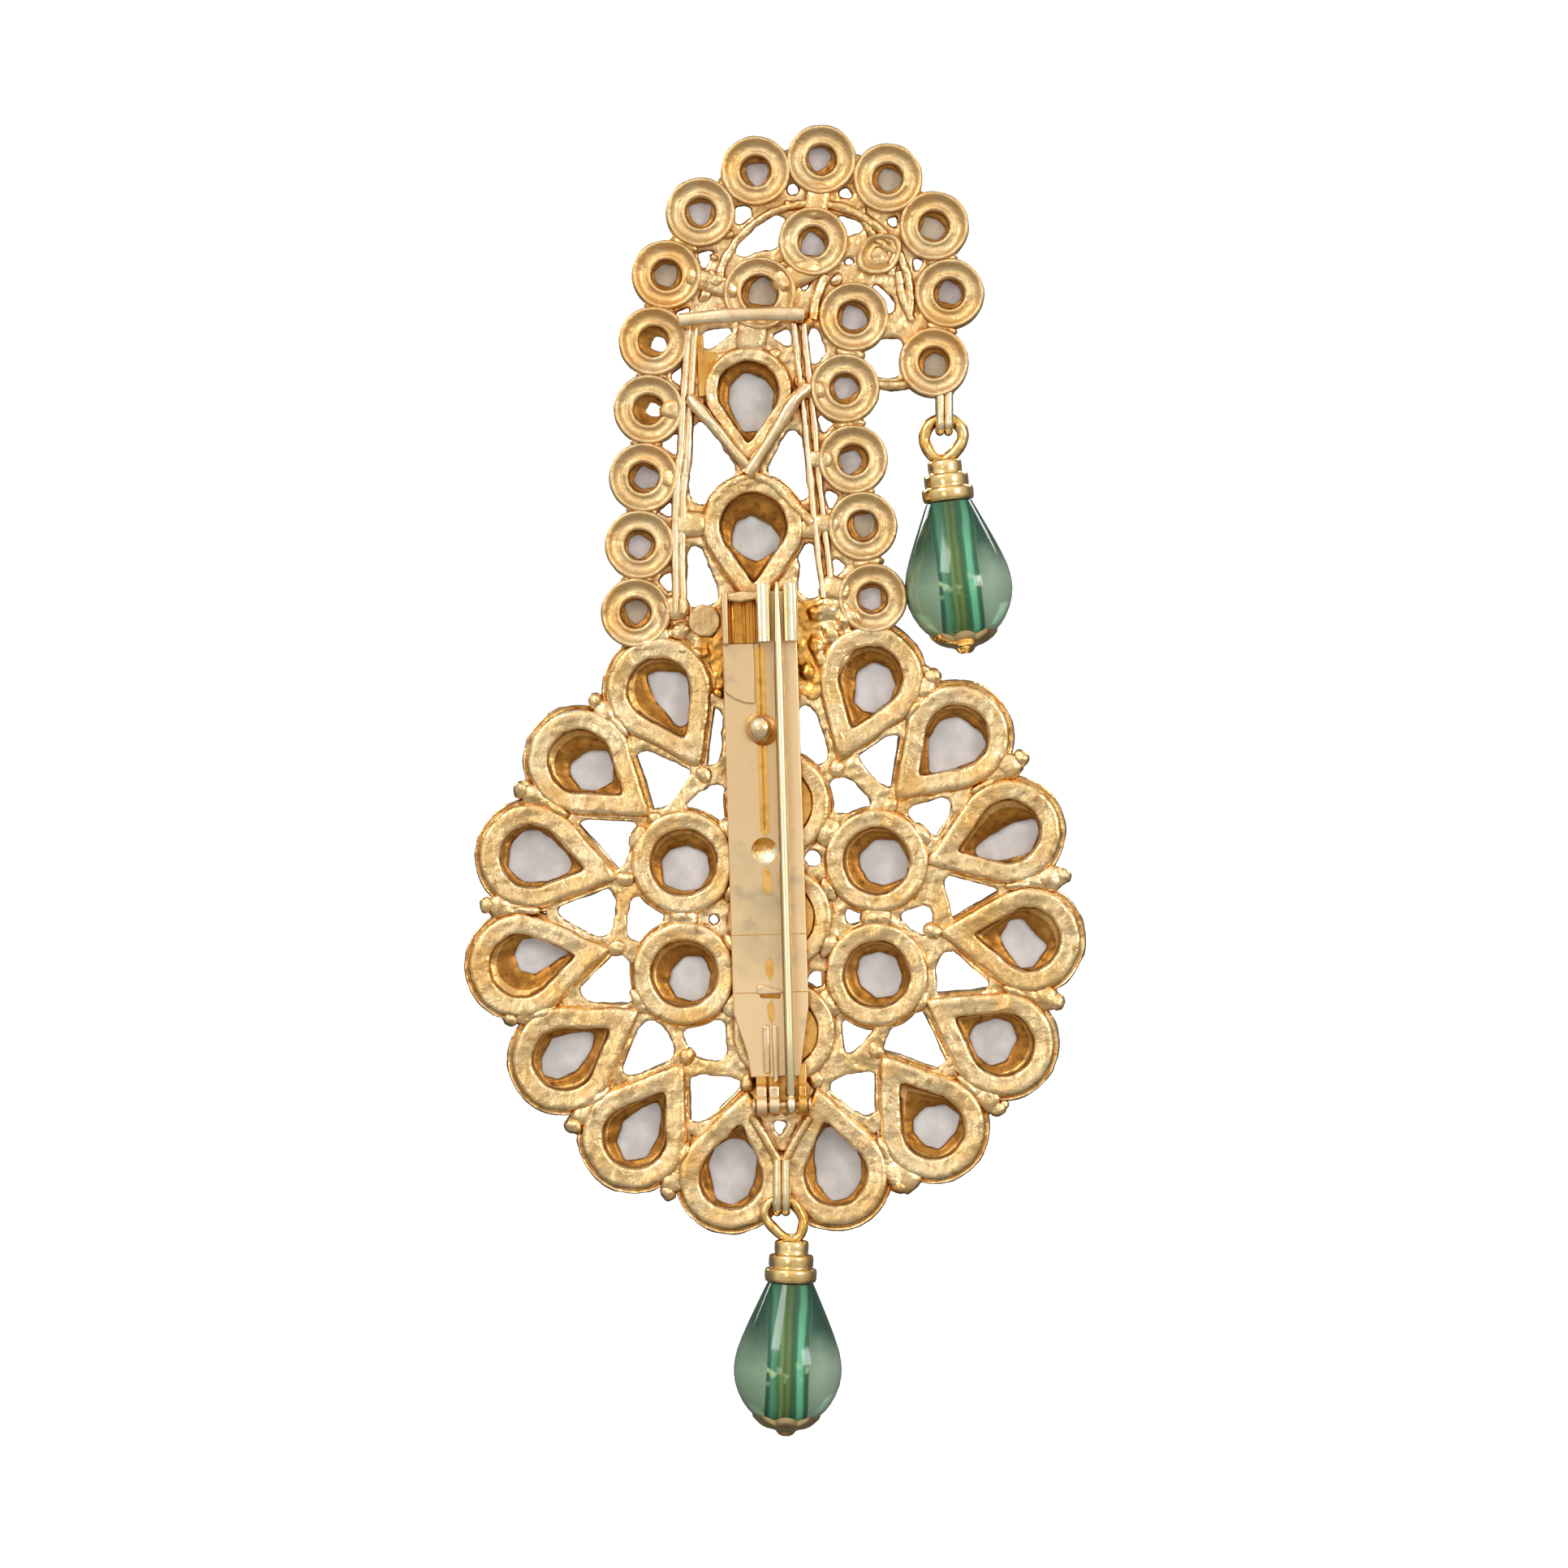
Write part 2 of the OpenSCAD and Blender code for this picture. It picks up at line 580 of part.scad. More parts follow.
module small_stone(i) {
    color("thistle") translate([beads[i][B_X], 0, beads[i][B_Z]])
        cut_stone(round_points(bead_r - small_wall - seat_gap, 16), small_seat_y + seat_gap,
                  small_front - 0.2, small_front + 0.7, 0.6);
}

module leaf_stone() {
    color("thistle") translate([leaf[0], 0, leaf[1]])
        cut_stone(round_points(leaf_stone_r - seat_gap, 16), small_seat_y + seat_gap,
                  small_front - 0.2, small_front + 0.5, 0.6);
}

// Places a drop: its own frame hangs down -Z from the ring's centre
module hung(ring, y, lean) {
    translate([ring[0], y, ring[1]]) rotate([0, -lean, 0]) children();
}

module turned_down(points) {
    rotate_extrude($fn = big_fn) polygon([for (p = points) [p[1], -p[0]]]);
}

module drop_pin() {
    rotate([90, 0, 0]) rotate_extrude($fn = small_fn) translate([drop_ring_r, 0])
        circle(r = drop_wire_r, $fn = wire_fn);
    translate([0, 0, -bead_top - bead_len - 1.1])
        cylinder(r = pin_r, h = bead_top + bead_len + 1.1 - drop_ring_r, $fn = wire_fn);
}

module drop_cap() {
    difference() {
        union() for (i = [0:2]) {
            end = i < 2 ? collars[i + 1][C_S] + 0.05 : cap_end;
            turned_down([[collars[i][C_S], 0], [collars[i][C_S], collars[i][C_R] - 0.2],
                         [collars[i][C_S] + 0.3, collars[i][C_R]],
                         [end - 0.3, collars[i][C_R]], [end, collars[i][C_R] - 0.2],
                         [end, 0]]);
        }
        translate([0, 0, -cap_end - 1]) cylinder(r = drill_r, h = cap_end, $fn = small_fn);
    }
}

module drop_bead() {
    rotate_extrude($fn = big_fn) polygon(concat(
        [[drill_r, -bead_top]],
        [for (s = bead_section) [s[1], -bead_top - bead_len * s[0]]],
        [[drill_r, -bead_top - bead_len]]));
}

module drop_end() {
    z = -bead_top - bead_len - 0.1;
    difference() {
        union() {
            translate([0, 0, z - 0.55]) cylinder(r = 2.0, h = 0.55, $fn = small_fn);
            for (i = [0:petals - 1]) rotate([0, 0, 360 * i / petals])
                translate([1.95, 0, z - 0.55]) cylinder(r = 0.72, h = 0.55, $fn = small_fn);
            translate([0, 0, z - 1.2]) cylinder(r1 = 0.9, r2 = 1.5, h = 0.7, $fn = small_fn);
        }
        translate([0, 0, z - 2]) cylinder(r = drill_r - 0.02, h = 3, $fn = small_fn);
    }
}

module lower_drop_pin() { color("gold") hung(lower_ring, lower_y, lower_lean) drop_pin(); }
module lower_drop_cap() { color("gold") hung(lower_ring, lower_y, lower_lean) drop_cap(); }
module lower_drop_bead() { color("seagreen") hung(lower_ring, lower_y, lower_lean) drop_bead(); }
module lower_drop_end() { color("gold") hung(lower_ring, lower_y, lower_lean) drop_end(); }
module upper_drop_pin() { color("gold") hung(upper_ring, upper_y, upper_lean) drop_pin(); }
module upper_drop_cap() { color("gold") hung(upper_ring, upper_y, upper_lean) drop_cap(); }
module upper_drop_bead() { color("seagreen") hung(upper_ring, upper_y, upper_lean) drop_bead(); }
module upper_drop_end() { color("gold") hung(upper_ring, upper_y, upper_lean) drop_end(); }

// Stones as nodes

module pear_stone_01() { pear_stone(0); }
module pear_stone_02() { pear_stone(1); }
module pear_stone_03() { pear_stone(2); }
module pear_stone_04() { pear_stone(3); }
module pear_stone_05() { pear_stone(4); }
module pear_stone_06() { pear_stone(5); }
module pear_stone_07() { pear_stone(6); }
module pear_stone_08() { pear_stone(7); }
module pear_stone_09() { pear_stone(8); }
module pear_stone_10() { pear_stone(9); }
module pear_stone_11() { pear_stone(10); }
module pear_stone_12() { pear_stone(11); }
module pear_stone_13() { pear_stone(12); }
module pear_stone_14() { pear_stone(13); }
module round_stone_1() { round_stone(0); }
module round_stone_2() { round_stone(1); }
module round_stone_3() { round_stone(2); }
module round_stone_4() { round_stone(3); }
module round_stone_5() { round_stone(4); }
module round_stone_6() { round_stone(5); }
module round_stone_7() { round_stone(6); }
module stem_pear_upper() { stem_pear_stone(0); }
module stem_pear_lower() { stem_pear_stone(1); }
module small_stone_01() { small_stone(0); }
module small_stone_02() { small_stone(1); }
module small_stone_03() { small_stone(2); }
module small_stone_04() { small_stone(3); }
module small_stone_05() { small_stone(4); }
module small_stone_06() { small_stone(5); }
module small_stone_07() { small_stone(6); }
module small_stone_08() { small_stone(7); }
module small_stone_09() { small_stone(8); }
module small_stone_10() { small_stone(9); }
module small_stone_11() { small_stone(10); }
module small_stone_12() { small_stone(11); }
module small_stone_13() { small_stone(12); }
module small_stone_14() { small_stone(13); }
module small_stone_15() { small_stone(14); }
module small_stone_16() { small_stone(15); }
module small_stone_17() { small_stone(16); }
module small_stone_18() { small_stone(17); }
module small_stone_19() { small_stone(18); }
module small_stone_20() { small_stone(19); }

frame();
pin_bar();
hinge_rivet();
needle();
pear_stone_01();
pear_stone_02();
pear_stone_03();
pear_stone_04();
pear_stone_05();
pear_stone_06();
pear_stone_07();
pear_stone_08();
pear_stone_09();
pear_stone_10();
pear_stone_11();
pear_stone_12();
pear_stone_13();
pear_stone_14();
round_stone_1();
round_stone_2();
round_stone_3();
round_stone_4();
round_stone_5();
round_stone_6();
round_stone_7();
stem_pear_upper();
stem_pear_lower();
small_stone_01();
small_stone_02();
small_stone_03();
small_stone_04();
small_stone_05();
small_stone_06();
small_stone_07();
small_stone_08();
small_stone_09();
small_stone_10();
small_stone_11();
small_stone_12();
small_stone_13();
small_stone_14();
small_stone_15();
small_stone_16();
small_stone_17();
small_stone_18();
small_stone_19();
small_stone_20();
leaf_stone();
lower_drop_pin();
lower_drop_cap();
lower_drop_bead();
lower_drop_end();
upper_drop_pin();
upper_drop_cap();
upper_drop_bead();
upper_drop_end();
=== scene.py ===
import math

import bmesh
import bpy
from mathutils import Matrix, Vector


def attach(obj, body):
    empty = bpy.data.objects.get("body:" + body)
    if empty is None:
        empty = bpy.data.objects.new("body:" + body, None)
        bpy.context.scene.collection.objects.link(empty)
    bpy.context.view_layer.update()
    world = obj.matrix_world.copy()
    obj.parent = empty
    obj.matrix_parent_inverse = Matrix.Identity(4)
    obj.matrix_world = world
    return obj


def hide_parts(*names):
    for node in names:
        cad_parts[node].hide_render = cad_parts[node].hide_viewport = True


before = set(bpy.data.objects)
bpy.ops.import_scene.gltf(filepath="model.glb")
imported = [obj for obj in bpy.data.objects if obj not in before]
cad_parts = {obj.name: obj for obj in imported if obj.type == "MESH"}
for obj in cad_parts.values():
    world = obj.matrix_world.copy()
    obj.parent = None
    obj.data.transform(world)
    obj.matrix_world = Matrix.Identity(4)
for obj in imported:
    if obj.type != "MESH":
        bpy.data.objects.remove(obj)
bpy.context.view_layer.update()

# Seven round cups of the rosette. Each is cast brass, gilt: a rounded rim and a
# groove at the back, a thin bezel round the opening, a lip for the stone in front.
mm = 0.001
back = 2.4
front = 6.0


class Tone:
    """A number or a colour in a gilder's or a lapidary's recipe, with its sums."""

    def __init__(self, recipe, socket):
        self.recipe = recipe
        self.socket = socket

    def sums(self, operation, first, second):
        settings = {"operation": operation}
        return self.recipe.add("ShaderNodeMath", settings, {0: first, 1: second})

    def __add__(self, other):
        return self.sums("ADD", self, other)

    def __radd__(self, other):
        return self.sums("ADD", other, self)

    def __sub__(self, other):
        return self.sums("SUBTRACT", self, other)

    def __rsub__(self, other):
        return self.sums("SUBTRACT", other, self)

    def __mul__(self, other):
        return self.sums("MULTIPLY", self, other)

    def __rmul__(self, other):
        return self.sums("MULTIPLY", other, self)

    def between(self, low, high):
        """0 up to low, 1 from high, even in between."""
        values = {0: self, 1: low, 2: high, 3: 0.0, 4: 1.0}
        return self.recipe.add("ShaderNodeMapRange", {"clamp": True}, values)

    def blend(self, first, second):
        """The first colour where this is 0, the second where it is 1."""
        settings = {"data_type": "RGBA"}
        return self.recipe.add("ShaderNodeMix", settings, {0: self, 6: first, 7: second}, 2)


class Mixture:
    """Nodes of a finish or of the light in the room."""

    def __init__(self, tree):
        self.tree = tree

    def feed(self, node, values):
        """Gives a node's inputs their values, colours or links."""
        for key, value in values.items():
            if isinstance(value, Tone):
                self.tree.links.new(value.socket, node.inputs[key])
            elif isinstance(value, tuple) and node.inputs[key].type == "RGBA":
                node.inputs[key].default_value = (*value, 1.0)
            else:
                node.inputs[key].default_value = value

    def add(self, kind, settings, values, output=0):
        """A node with its settings or its stops, and what feeds its inputs."""
        node = self.tree.nodes.new(kind)
        for name, value in settings.items():
            if name == "stops":
                steps = node.color_ramp.elements
                steps[0].position = value[0][0]
                steps[1].position = value[-1][0]
                for place, colour in value[1:-1]:
                    steps.new(place)
                for step, (place, colour) in zip(steps, value):
                    step.color = (*colour, 1.0)
            else:
                setattr(node, name, value)
        self.feed(node, values)
        return Tone(self, node.outputs[output]) if node.outputs else None

    def measured(self, place, way):
        """How far a place lies across (0), deep (1) or up (2)."""
        return self.add("ShaderNodeSeparateXYZ", {}, {0: place}, way)


class Recipe(Mixture):
    """The finish of one metal, glass, stone or paper."""

    def __init__(self, name):
        self.material = bpy.data.materials.new(name)
        self.material.use_nodes = True
        super().__init__(self.material.node_tree)
        self.place = self.add("ShaderNodeTexCoord", {}, {}, "Object")

    def noise(self, scale, detail, place=None):
        return self.add("ShaderNodeTexNoise", {}, {
            "Vector": place or self.place, "Scale": scale, "Detail": detail})

    def stretched(self, x, y, z, lean=0.0):
        """The place turned upright by lean degrees, then stretched."""
        turned = self.add("ShaderNodeMapping", {}, {
            "Vector": self.place, "Rotation": (0, math.radians(lean), 0)})
        return self.add("ShaderNodeMapping", {}, {"Vector": turned, "Scale": (x, y, z)})

    def corners(self, reach):
        """Painted shade: 0 on open metal, 1 in a corner; reach is how far the painted shade spreads
        from a corner, in metres.
        """
        open_sky = self.add("ShaderNodeAmbientOcclusion", {"samples": 8},
                            {"Distance": reach}, "AO")
        return (1.0 - open_sky).between(0.22, 0.75)

    def bump(self, height, strength, distance):
        return self.add("ShaderNodeBump", {}, {
            "Strength": strength, "Distance": distance, "Height": height})

    def give(self, **inputs):
        """Feeds the shader's inputs and hands the material over."""
        self.feed(self.tree.nodes["Principled BSDF"],
                  {name.replace("_", " "): value for name, value in inputs.items()})
        return self.material


def gilt(name, bright, body, dull, recess, polish, grain, reach, warmth=0.0):
    """Gilt metal in its four colours, the fourth a painted shade for its corners, with its roughness,
    the strength of its grain, the reach of that painted shade, and how far its orange places have
    turned."""
    recipe = Recipe(name)
    patches = recipe.noise(230.0, 3.0)
    spots = recipe.noise(1100.0, 4.0)
    fine = recipe.noise(3600.0, 3.0)
    washed = patches.between(0.36, 0.64).blend(body, bright)
    worn = spots.between(0.52, 0.72).blend(washed, dull)
    if warmth:
        turned = recipe.noise(170.0, 2.0).between(0.53, 0.66) * warmth
        worn = turned.blend(worn, (0.86, 0.45, 0.11))
    # painted shade: the corners darken towards the recess colour
    closed = recipe.corners(reach)
    colour = closed.blend(worn, recess)
    roughness = polish + (spots - 0.5) * 0.22 + closed * 0.10
    pits = recipe.noise(620.0, 2.0)
    height = pits * 0.8 + spots * 0.65 + fine * 0.25
    return recipe.give(Base_Color=colour, Metallic=1.0, Roughness=roughness,
                       Normal=recipe.bump(height, grain, 0.22 * mm))


# Each gilt metal's fourth colour is painted shade for its corners.
cast_gold = gilt("cast gold", (0.97, 0.72, 0.39), (0.82, 0.53, 0.22), (0.52, 0.31, 0.12),
                 (0.40, 0.14, 0.025), polish=0.28, grain=0.75, reach=1.6 * mm, warmth=0.55)
well_gold = gilt("gold inside the wells", (0.72, 0.43, 0.15), (0.56, 0.31, 0.09),
                 (0.38, 0.18, 0.05), (0.24, 0.08, 0.01), polish=0.36, grain=0.45, reach=mm)
well_edge = gilt("brown edge of the windows", (0.42, 0.19, 0.04), (0.30, 0.12, 0.02),
                 (0.17, 0.06, 0.01), (0.08, 0.02, 0.01), polish=0.42, grain=0.45, reach=mm)
# orange gold, also laid on as painted shade: in the bar's scored lines and beside the rivet's head
orange_gold = gilt("gold that polish has darkened", (0.90, 0.52, 0.14), (0.74, 0.36, 0.07),
                   (0.55, 0.22, 0.04), (0.36, 0.11, 0.01), polish=0.30, grain=0.30, reach=mm)


def deselect():
    if bpy.context.object and bpy.context.object.mode != "OBJECT":
        bpy.ops.object.mode_set(mode="OBJECT")
    bpy.ops.object.select_all(action="DESELECT")


def take(piece):
    deselect()
    piece.select_set(True)
    bpy.context.view_layer.objects.active = piece
    return piece


def edit(piece):
    take(piece)
    bpy.ops.object.mode_set(mode="EDIT")
    bpy.ops.mesh.select_all(action="SELECT")


def outline(places, depth):
    """A ring of corners at places across and up, all at one depth, ready to draw on."""
    deselect()
    bpy.ops.mesh.primitive_circle_add(vertices=len(places))
    ring = bpy.context.object
    for corner, (x, z) in zip(ring.data.vertices, places):
        corner.co = (x * mm, depth * mm, z * mm)
    edit(ring)
    return ring


def finish(piece, *materials, angle=50):
    """Welds, turns the faces outward, shades and coats the piece being edited."""
    bpy.ops.mesh.select_all(action="SELECT")
    bpy.ops.mesh.remove_doubles(threshold=0.002 * mm)
    bpy.ops.mesh.normals_make_consistent(inside=False)
    bpy.ops.object.mode_set(mode="OBJECT")
    bpy.ops.object.shade_smooth_by_angle(angle=math.radians(angle))
    piece.data.materials.clear()
    for material in materials:
        piece.data.materials.append(material)
    return piece


def cup_casting(places, rows, metal):
    """A cup cast round the middle: its opening drawn on through rows of size and depth."""
    size, depth = rows[0]
    cup = outline(places, depth)
    for new_size, new_depth in rows[1:]:
        bpy.ops.mesh.extrude_edges_move()
        ratio = new_size / size
        bpy.ops.transform.resize(value=(ratio, 1, ratio), center_override=(0, 0, 0))
        bpy.ops.transform.translate(value=(0, (new_depth - depth) * mm, 0))
        size, depth = new_size, new_depth
    return finish(cup, metal)


def set_down(piece, x=0.0, z=0.0, turn=0.0, y=0.0, size=(1, 1, 1)):
    """Turns a piece in the plane of the ornament and sets it down."""
    take(piece)
    piece.scale = size
    piece.rotation_euler = (0, -math.radians(turn), 0)
    piece.location = (x * mm, y * mm, z * mm)
    bpy.ops.object.transform_apply(location=True, rotation=True, scale=True)
    return piece


def copied(piece, *where):
    """A copy with its own mesh, set down."""
    take(piece)
    bpy.ops.object.duplicate()
    return set_down(bpy.context.object, *where)


def joined(name, pieces):
    take(pieces[0])
    for piece in pieces:
        piece.select_set(True)
    bpy.ops.object.join()
    pieces[0].name = name
    return pieces[0]


def modified(piece, kind, **settings):
    """Gives a piece a modifier and applies it."""
    take(piece)
    bpy.ops.object.modifier_add(type=kind)
    modifier = piece.modifiers[-1]
    for name, value in settings.items():
        setattr(modifier, name, value)
    bpy.ops.object.modifier_apply(modifier=modifier.name)


def cast_skin(piece, *swells):
    """Lets the surface waver a little, as cast metal does: height and size of each swell."""
    for height, size in swells:
        texture = bpy.data.textures.new(piece.name, type="CLOUDS")
        texture.noise_scale = size * mm
        texture.noise_depth = 2
        modified(piece, "DISPLACE", texture=texture, texture_coords="LOCAL",
                 strength=height * mm, mid_level=0.5)


def delete(*pieces):
    for piece in pieces:
        bpy.data.objects.remove(piece)


def fixed(piece, node, body="frame_body"):
    """Fixes a finished piece to its body, in the place of a node."""
    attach(piece, body)
    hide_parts(node)


def polar(angle, distance, x=0.0, z=0.0):
    """The place at an angle in degrees and a distance from x, z."""
    turn = math.radians(angle)
    return x + distance * math.cos(turn), z + distance * math.sin(turn)


def round_places(radius, corners, x=0.0, z=0.0):
    return [polar(360 * step / corners, radius, x, z) for step in range(corners)]


def large_rows(hole, edge, flare=0.0):
    """Half section of a large cup from the opening round to the seat, for its radii."""
    wide = (edge - hole) / 2.15
    back_rows = [(0.0, 0.95), (0.0, 0.46), (0.05, 0.24), (0.15, 0.14), (0.34, 0.10),
                 (0.60, 0.10), (0.88, 0.07), (1.14, 0.03), (1.40, 0.01), (1.62, 0.08),
                 (1.78, 0.25), (1.87, 0.48)]
    rows = [(hole + out * wide, back + depth) for out, depth in back_rows]
    rim = edge + flare
    rows += [(edge - 0.22 + 0.4 * flare, back + 0.64), (edge - 0.08 + 0.7 * flare, back + 0.57),
             (rim, back + 0.74), (rim + 0.03, back + 1.15), (rim + 0.02, back + 2.2)]
    lip = edge - 1.16
    seat = edge - 0.87
    front_rows = [(rim, -0.55), (rim - 0.06, -0.22), (rim - 0.22, -0.06),
                  (lip + 0.28, -0.04), (lip + 0.05, -0.12), (lip, -0.36), (seat, -0.42)]
    rows += [(size, front + depth) for size, depth in front_rows]
    return rows + [(seat, back + 1.95), (hole, back + 1.92), (hole, back + 0.95)]


def ray_places(corners, count, turn=0.0):
    """Even steps round a many-sided opening, its corners softened."""
    middle_x = sum(x for x, z in corners) / len(corners)
    middle_z = sum(z for x, z in corners) / len(corners)
    reaches = []
    for step in range(count):
        angle = math.radians(turn) + 2 * math.pi * step / count
        across, up = math.cos(angle), math.sin(angle)
        far = 0.0
        for (x0, z0), (x1, z1) in zip(corners, corners[1:] + corners[:1]):
            side_x, side_z = x1 - x0, z1 - z0
            lean = across * side_z - up * side_x
            if abs(lean) < 1e-9:
                continue
            run = ((x0 - middle_x) * side_z - (z0 - middle_z) * side_x) / lean
            share = ((x0 - middle_x) * up - (z0 - middle_z) * across) / lean
            if run > 0 and -1e-6 <= share <= 1 + 1e-6:
                far = max(far, run)
        reaches.append(far)
    for smoothing in range(3):
        reaches = [(reaches[step - 1] + 2 * reaches[step] + reaches[(step + 1) % count]) / 4
                   for step in range(count)]
    return [polar(turn + 360 * step / count, far, middle_x, middle_z)
            for step, far in enumerate(reaches)]


def draw_to(piece, last, places, depth):
    """Draws the selected ring on so that each corner goes from its last place to the next."""
    bpy.ops.mesh.extrude_edges_move()
    mesh = bmesh.from_edit_mesh(piece.data)
    for corner in [corner for corner in mesh.verts if corner.select]:
        here = (corner.co.x / mm, corner.co.z / mm)
        number = min(range(len(last)), key=lambda spot: math.dist(last[spot], here))
        corner.co = (places[number][0] * mm, depth * mm, places[number][1] * mm)
    bmesh.update_edit_mesh(piece.data)
    return places


def well(hole, window, depths, brown=0.55):
    """The funnel inside a cup, from its opening in to the stone's window; brown is the
    share of its depth from which its faces are dark brown."""
    start, edge, behind = depths
    funnel = outline(hole, start)
    last = hole
    for inward, down in ((0.05, 0.42), (0.28, 0.66), (0.58, 0.75), (0.86, 0.80), (1.0, 1.0)):
        places = [(x + (to_x - x) * inward, z + (to_z - z) * inward)
                  for (x, z), (to_x, to_z) in zip(hole, window)]
        last = draw_to(funnel, last, places, start + (edge - start) * down)
    last = draw_to(funnel, last, window, behind)
    last = draw_to(funnel, last, hole, behind)
    draw_to(funnel, last, hole, start)
    finish(funnel, well_gold, well_edge)
    for face in funnel.data.polygons:
        if face.center.y > (start + (edge - start) * brown) * mm:
            face.material_index = 1
    return funnel


round_edge = 5.45
round_hole = 3.3
corners_round = 72
# x and z of each cup, the middle one first, then the corners of the window that shows its
# stone; the three behind the bar have none
round_cups = [
    (-0.36, -6.80, None), (-0.56, 4.48, None), (0.00, -18.08, None),
    (-9.92, -1.36, [(-12.1, -1.1), (-11.3, -0.1), (-9.5, 0.3), (-7.6, -0.5), (-7.4, -2.5),
                    (-8.4, -4.0), (-10.1, -4.2), (-11.9, -3.4)]),
    (9.12, -1.20, [(7.5, -0.5), (9.2, 0.9), (11.2, 0.7), (12.3, -1.1), (12.0, -2.8),
                   (10.0, -3.6), (8.4, -3.2), (7.5, -1.7)]),
    (-9.84, -12.32, [(-11.1, -12.0), (-9.7, -10.6), (-8.0, -10.7), (-7.2, -12.4),
                     (-7.6, -14.4), (-8.9, -15.2), (-10.7, -14.6), (-11.4, -13.2)]),
    (9.12, -12.40, [(7.5, -10.8), (9.4, -10.1), (11.1, -10.7), (11.7, -12.8),
                    (11.1, -14.4), (9.2, -14.8), (7.6, -13.6), (7.2, -12.2)])]
# depths of a well's start, of its window's edge and of the window's back
large_depths = (back + 0.75, back + 1.72, back + 1.90)
rows = large_rows(round_hole, round_edge)
pattern = cup_casting(round_places(rows[0][0], corners_round), rows, cast_gold)
pieces = []
for number, (x, z, corners) in enumerate(round_cups):
    pieces.append(copied(pattern, x, z, number * 40))
    if corners:
        hole = round_places(round_hole + 0.02, corners_round, x, z)
        pieces.append(well(hole, ray_places(corners, corners_round), large_depths))
delete(pattern)
round_group = joined("rosette_round_cups", pieces)
cast_skin(round_group, (0.30, 2.2), (0.16, 0.8))
fixed(round_group, "frame")

# Fourteen pear cups round them, cast in the same way, tips towards the middle.
# The windows that show the stones' backs are cut by hand, each its own shape.
pear_edge, pear_hole, pear_flare, pear_reach = 5.5, 3.12, 0.14, 1.75
corners_pear = 96
# the rosette's middle is that of its first round cup
middle = round_cups[0][:2]


def pear_places(radius, reach, corners, x=0.0, z=0.0, turn=0.0):
    """Even turns round a pear with its round centre at x, z and its tip at turn."""
    half = math.acos(1 / reach)
    places = []
    for step in range(corners):
        angle = 2 * math.pi * step / corners
        off = min(angle, 2 * math.pi - angle)
        far = radius / math.cos(max(0.0, half - off))
        far = min(far, radius * (reach - 0.06 + 0.3 * off))
        along = angle + math.radians(turn)
        places.append((x + far * math.cos(along), z + far * math.sin(along)))
    return places


def pear_casting(edge, hole, reach, set_back, flare=0.0):
    rows = [(size, depth + set_back) for size, depth in large_rows(hole, edge, flare)]
    return cup_casting(pear_places(rows[0][0], reach, corners_pear), rows, cast_gold)


